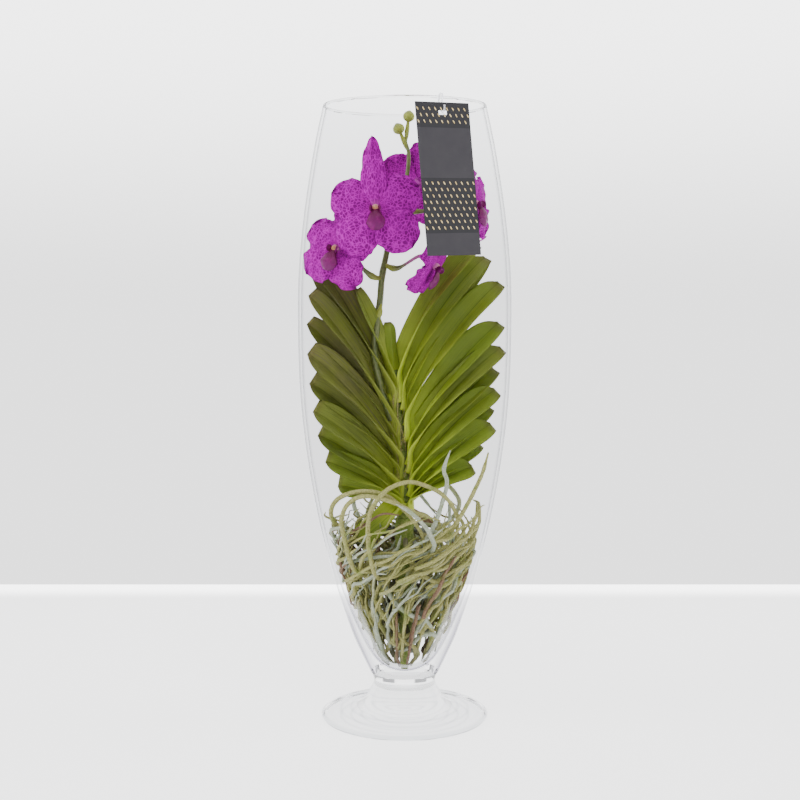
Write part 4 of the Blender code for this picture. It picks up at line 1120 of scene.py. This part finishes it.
def make_petals(name, index, skin):
    middle, size, top = Vector(BLOOMS[name][0]), BLOOMS[name][4], BLOOMS[name][5]
    across, up, out = bloom_axes(name)
    parts = []
    for i, (turn, length, width, forward) in enumerate(TEPALS):
        angle = math.radians(turn)
        way = math.cos(angle) * up + math.sin(angle) * across
        stretch = top if turn == 0 else 1.0
        parts.append(grow(f"{name}_tepal_{i}", TEPAL_RULE, skin, {
            "Middle": tuple(middle), "Way": tuple(way), "Out": tuple(out), "Length": length * size * stretch,
            "Width": width * size * PETAL_WIDENING, "Bow": forward + PETAL_BOW,
            "Phase": 2.3 * i + 1.1 * index,
            "Cup": PETAL_CUP - PETAL_CUP_SWING * math.sin(3.1 * i + index),
            "Ruffle": PETAL_RUFFLE + PETAL_RUFFLE_SWING * math.cos(2.3 * i),
            "Tone": 0.1 * i + 0.37 * index, "Tip Shape": 1.7 if turn == 0 else 2.3,
            "Skew": 0.05 * math.sin(2.0 * i + index), **(TALL_SEPAL if stretch > 1 else {}),
        }))
    hub = [middle - HUB_BACK * out, middle - 0.4 * HUB_BACK * out, middle + HUB_FRONT * out]
    hub = line_mesh("hub", [(smooth_points(hub, 8), [0.0018, 0.0032, HUB_RADIUS, 0.0032], [0.0, 0.0])])
    parts.append(grow(f"{name}_hub", STEM_RULE, skin, {"Sides": 16}, hub))
    settle(joined(f"{name}_petals", parts), "petal", name)


def make_lip(name, crimson, pale):
    across, up, out = bloom_axes(name)
    foot = Vector(BLOOMS[name][0]) + (HUB_FRONT + GAP) * out
    path = smooth_points([foot, foot + 0.0035 * out, foot + 0.0065 * out + 0.0008 * up], 10)
    radii = [0.0034, *COLUMN_RADII, 0.0006]
    column = line_mesh("column", [(path, radii, [0.0, 0.0])])
    column = grow(f"{name}_column", STEM_RULE, pale, {"Sides": 16, "Knobs": 0.0003}, column)
    settle(column, "lip", f"{name}_lip")
    tongue = {
        "Middle": tuple(foot + 0.0030 * out - 0.0010 * up), "Way": tuple(0.40 * out - up),
        "Out": tuple(out + 0.40 * up), "Length": 0.0212, "Width": 0.0180, "Claw": 0.42, "Shoulder": 0.66,
        "Tip Shape": 1.5, "Bow": 0.14, "Curl": 0.16, "Cup": -0.35, "Ruffle": 0.0005, "Thickness": 0.0016,
    }
    parts = [grow(f"{name}_tongue", TEPAL_RULE, crimson, tongue)]
    for side in (-1, 1):
        parts.append(grow(f"{name}_ear", TEPAL_RULE, crimson, {
            "Middle": tuple(foot + 0.0026 * out + side * 0.0024 * across - 0.0016 * up),
            "Way": tuple(out + side * 0.55 * across + 0.25 * up), "Out": tuple(side * across - 0.4 * out),
            "Length": 0.0072, "Width": 0.0068, "Claw": 0.6, "Cup": -0.2, "Ruffle": 0.0003,
            "Thickness": 0.0009, "Phase": float(side),
        }))
    settle(joined(f"{name}_lobes", parts), "lip", f"{name}_lip")


def make_blooms():
    magenta = finish("petal_skin", petal_skin)
    crimson = finish("lip_skin", lip_skin)
    pale = finish("column_skin", column_skin)
    for index, name in enumerate(BLOOMS):
        make_petals(name, index, magenta)
        make_lip(name, crimson, pale)


def spike_point(height):
    return min(smooth_points(SPIKE, 60), key=lambda p: abs(p.z - height))


def stalk_line(name):
    """The stalk of one bloom, swollen at its foot and flushed towards the flower."""
    middle, out = Vector(BLOOMS[name][0]), bloom_axes(name)[2]
    start = spike_point(BLOOMS[name][6])
    back = middle - (HUB_BACK + GAP) * out
    leave = start + 0.30 * (back - start) - 0.004 * UP
    path = smooth_points([start, leave, back - 0.012 * out, back - 0.003 * out], 30) + [back]
    thick = [STALK_RADIUS * s for s in (1.2, 1.5, 2.1, 1.5, 1.0, 0.95, 0.95, 1.0, 1.1, 1.15, 1.1)]
    return path, thick, [-0.6, -0.8, -0.3, 0.45, 0.8, 1.0, 1.0, 1.0]


def bud_lines(start, middle, radius):
    start, middle = Vector(start), Vector(middle)
    way = (middle - start).normalized()
    path = smooth_points([start, start.lerp(middle, 0.35), middle - radius * way], 12)
    yield path, [0.0013, 0.0019, 0.0023, 0.0020, 0.0015], [-0.5, -1.0]
    ends = [middle + radius * s * way for s in (-1.05, 0.95)]
    shares = (0.22, 0.60, 0.84, 0.97, 1.02, 1.0, 0.93, 0.78, 0.52, 0.12)
    yield smooth_points(ends, 24), [radius * s for s in shares], [-0.6, -1.0, -0.4]


def make_spike():
    thick, thin = SPIKE_RADII
    radii = [thick + (thin - thick) * (i / 30) ** 2 for i in range(31)]
    radii = [r * (SPIKE_JOINT_SWELL if i in SPIKE_JOINTS else 1.0) for i, r in enumerate(radii)]
    lines = [(smooth_points(SPIKE, 120), radii, [0.0, 0.0])]
    lines += [stalk_line(name) for name in BLOOMS]
    for bud in BUDS:
        lines += bud_lines(*bud)
    foot = spike_point(BRACT_HEIGHT)
    bract = [foot, foot + Vector((0.0020, -0.0020, 0.006)), foot + Vector((0.0032, -0.0030, 0.013))]
    lines.append((smooth_points(bract, 14), [0.0026, 0.0034, 0.0030, 0.0018, 0.0006], [-1.0, -1.0]))
    sizes = {"Sides": 14, "Knobs": 0.00018, "Knob Scale": 260.0}
    skin = finish("spike_skin", spike_skin)
    stalk = grow("flower_stalk", STEM_RULE, skin, sizes, line_mesh("flower_stalk", lines))
    settle(stalk, "spike", "flower_spike")


def tag_distance():
    """How far from the axis the card's middle hangs, with its back just clear of the glass."""
    lean = math.radians(TAG_LEAN)
    steps = 40
    most = 0.0
    for i in range(steps + 1):
        below = TAG_HEIGHT * (i / steps - 0.5) * math.cos(lean)
        wall = outer_radius(TAG_MIDDLE_HEIGHT - below)
        most = max(most, wall - below * math.tan(lean))
    return most + (GAP + 0.5 * TAG_THICKNESS) / math.cos(lean)


def tag_frame():
    """The card's middle, and the directions across, up and out of it."""
    turn, lean, tilt = (math.radians(a) for a in (TAG_TURN, TAG_LEAN, TAG_TILT))
    outward = Vector((math.sin(turn), -math.cos(turn), 0))
    right = Vector((math.cos(turn), math.sin(turn), 0))
    middle = tag_distance() * outward + TAG_SIDEWAYS * right + TAG_MIDDLE_HEIGHT * UP
    up = math.cos(lean) * UP - math.sin(lean) * outward
    out = math.cos(lean) * outward + math.sin(lean) * UP
    across = math.cos(tilt) * right + math.sin(tilt) * up
    return middle, across, math.cos(tilt) * up - math.sin(tilt) * right, out


def make_tag():
    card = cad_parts["tag_card"]
    card.data.materials.clear()
    card.data.materials.append(finish("card_skin", card_skin))
    middle, across, up, out = tag_frame()
    gold = finish("foil_skin", foil_skin)
    face = middle + (0.5 * TAG_THICKNESS + FOIL_RAISE) * out
    parts = []
    for label, (level, rows) in FOIL_BANDS.items():
        parts.append(grow(f"foil_{label}", FOIL_RULE, gold, {
            "Middle": tuple(face + level * TAG_HEIGHT * up), "Across": tuple(across), "Up": tuple(up),
            "Out": tuple(out), "Columns": FOIL_COLUMNS, "Rows": rows, "Spread": TAG_WIDTH - 2 * FOIL_MARGIN,
            "Drop": FOIL_ROW_STEP * (rows - 1),
        }))
    settle(joined("foil_seeds", parts), "card")


def make_hook():
    """A clear hook from inside the rim, over it, and through the card's slot."""
    turn = math.radians(HOOK_ANGLE)
    outward = Vector((math.sin(turn), -math.cos(turn), 0))
    clear = HOOK_RADIUS + GAP
    rim = VASE_OUTLINE[-1][0]
    middle, _, up, out = tag_frame()
    slot = middle + (0.5 * TAG_HEIGHT - SLOT_DOWN + 0.5 * SLOT_HEIGHT - clear) * up
    points = [
        (rim - WALL - clear - 0.0010) * outward + (VASE_HEIGHT - 0.012) * UP,
        (rim - WALL - clear - 0.0010) * outward + (VASE_HEIGHT - 0.001) * UP,
        (rim - 0.5 * WALL) * outward + (VASE_HEIGHT + clear + 0.0007) * UP,
        (rim + clear + 0.0008) * outward + (VASE_HEIGHT - 0.001) * UP,
        slot - 0.0024 * out + 0.0040 * up,
        slot - 0.0012 * out,
        slot + 0.0012 * out,
        slot + 0.0036 * out + 0.0016 * up,
        slot + 0.0040 * out + 0.0056 * up,
    ]
    line = line_mesh("clear_hook", [(smooth_points(points, 64), [HOOK_SKIN, HOOK_SKIN], [0.0, 0.0])])
    hook = grow("clear_hook", STEM_RULE, finish("clear_plastic", clear_plastic), {"Sides": 12}, line)
    settle(hook, "clear_plastic", "tag_hook")


# Stage, lights and camera


def make_stage():
    """A pale floor."""
    verts = [(x, y, 0.0) for y in (-FLOOR_REACH, FLOOR_BACK) for x in (-FLOOR_REACH, FLOOR_REACH)]
    mesh = bpy.data.meshes.new("studio_paper")
    mesh.from_pydata(verts, [], [(0, 1, 3, 2)])
    mesh.materials.append(finish("studio_paper", studio_paper))
    stage = bpy.data.objects.new("studio_paper", mesh)
    bpy.context.scene.collection.objects.link(stage)


def make_light(name, place, aim, width, height, power):
    light = bpy.data.lights.new(name, "AREA")
    light.shape = "RECTANGLE"
    light.size = width
    light.size_y = height
    light.energy = power
    lamp = bpy.data.objects.new(name, light)
    lamp.location = place
    lamp.visible_glossy = False
    lamp.visible_transmission = False
    lamp.rotation_euler = (Vector(aim) - Vector(place)).to_track_quat("-Z", "Y").to_euler()
    bpy.context.scene.collection.objects.link(lamp)


def make_camera():
    camera = bpy.data.cameras.new("camera")
    camera.lens = CAMERA_LENS
    holder = bpy.data.objects.new("camera", camera)
    holder.location = CAMERA_PLACE
    holder.rotation_euler = (math.radians(90 - CAMERA_DOWN), 0, 0)
    bpy.context.scene.collection.objects.link(holder)
    bpy.context.scene.camera = holder


def make_world():
    """Pale all round where it is seen, and dimmer as a light. In the glass it shows light panels with
    darker gaps between them."""
    world = bpy.data.worlds.new("studio")
    world.use_nodes = True
    world.node_tree.nodes.clear()
    plan = Plan(world.node_tree)
    way = plan.split(plan.node("ShaderNodeTexCoord"))
    pale = plan.mix(way["Z"].rise(-0.02, 0.19), (2.35, 2.35, 2.36), (4.4, 4.4, 4.42))
    panels = (way["X"].pair("ARCTAN2", way["X"], way["Y"]) * LIGHT_PANELS).cosine().rise(-0.35, 0.05)
    room = plan.mix(panels, (0.40, 0.40, 0.42), (3.6, 3.6, 3.62))
    bent = plan.mix(panels, (0.75, 0.75, 0.78), (3.4, 3.4, 3.42))
    path = plan.node("ShaderNodeLightPath")
    colour = plan.mix(path["Is Transmission Ray"], pale, bent)
    colour = plan.mix(path["Is Reflection Ray"], colour, room)
    colour = plan.mix(path["Is Diffuse Ray"], colour, (0.32, 0.32, 0.33))
    light = plan.node("ShaderNodeBackground", {}, {"Color": colour, "Strength": 1.0})
    plan.node("ShaderNodeOutputWorld", {}, {"Surface": light})
    bpy.context.scene.world = world


make_camera()
make_world()
make_stage()
for light_name, light_facts in LIGHTS.items():
    make_light(light_name, *light_facts)

make_vase()
make_leaves()
make_stem()
make_fibres()
make_roots()
make_spike()
make_blooms()
make_tag()
make_hook()
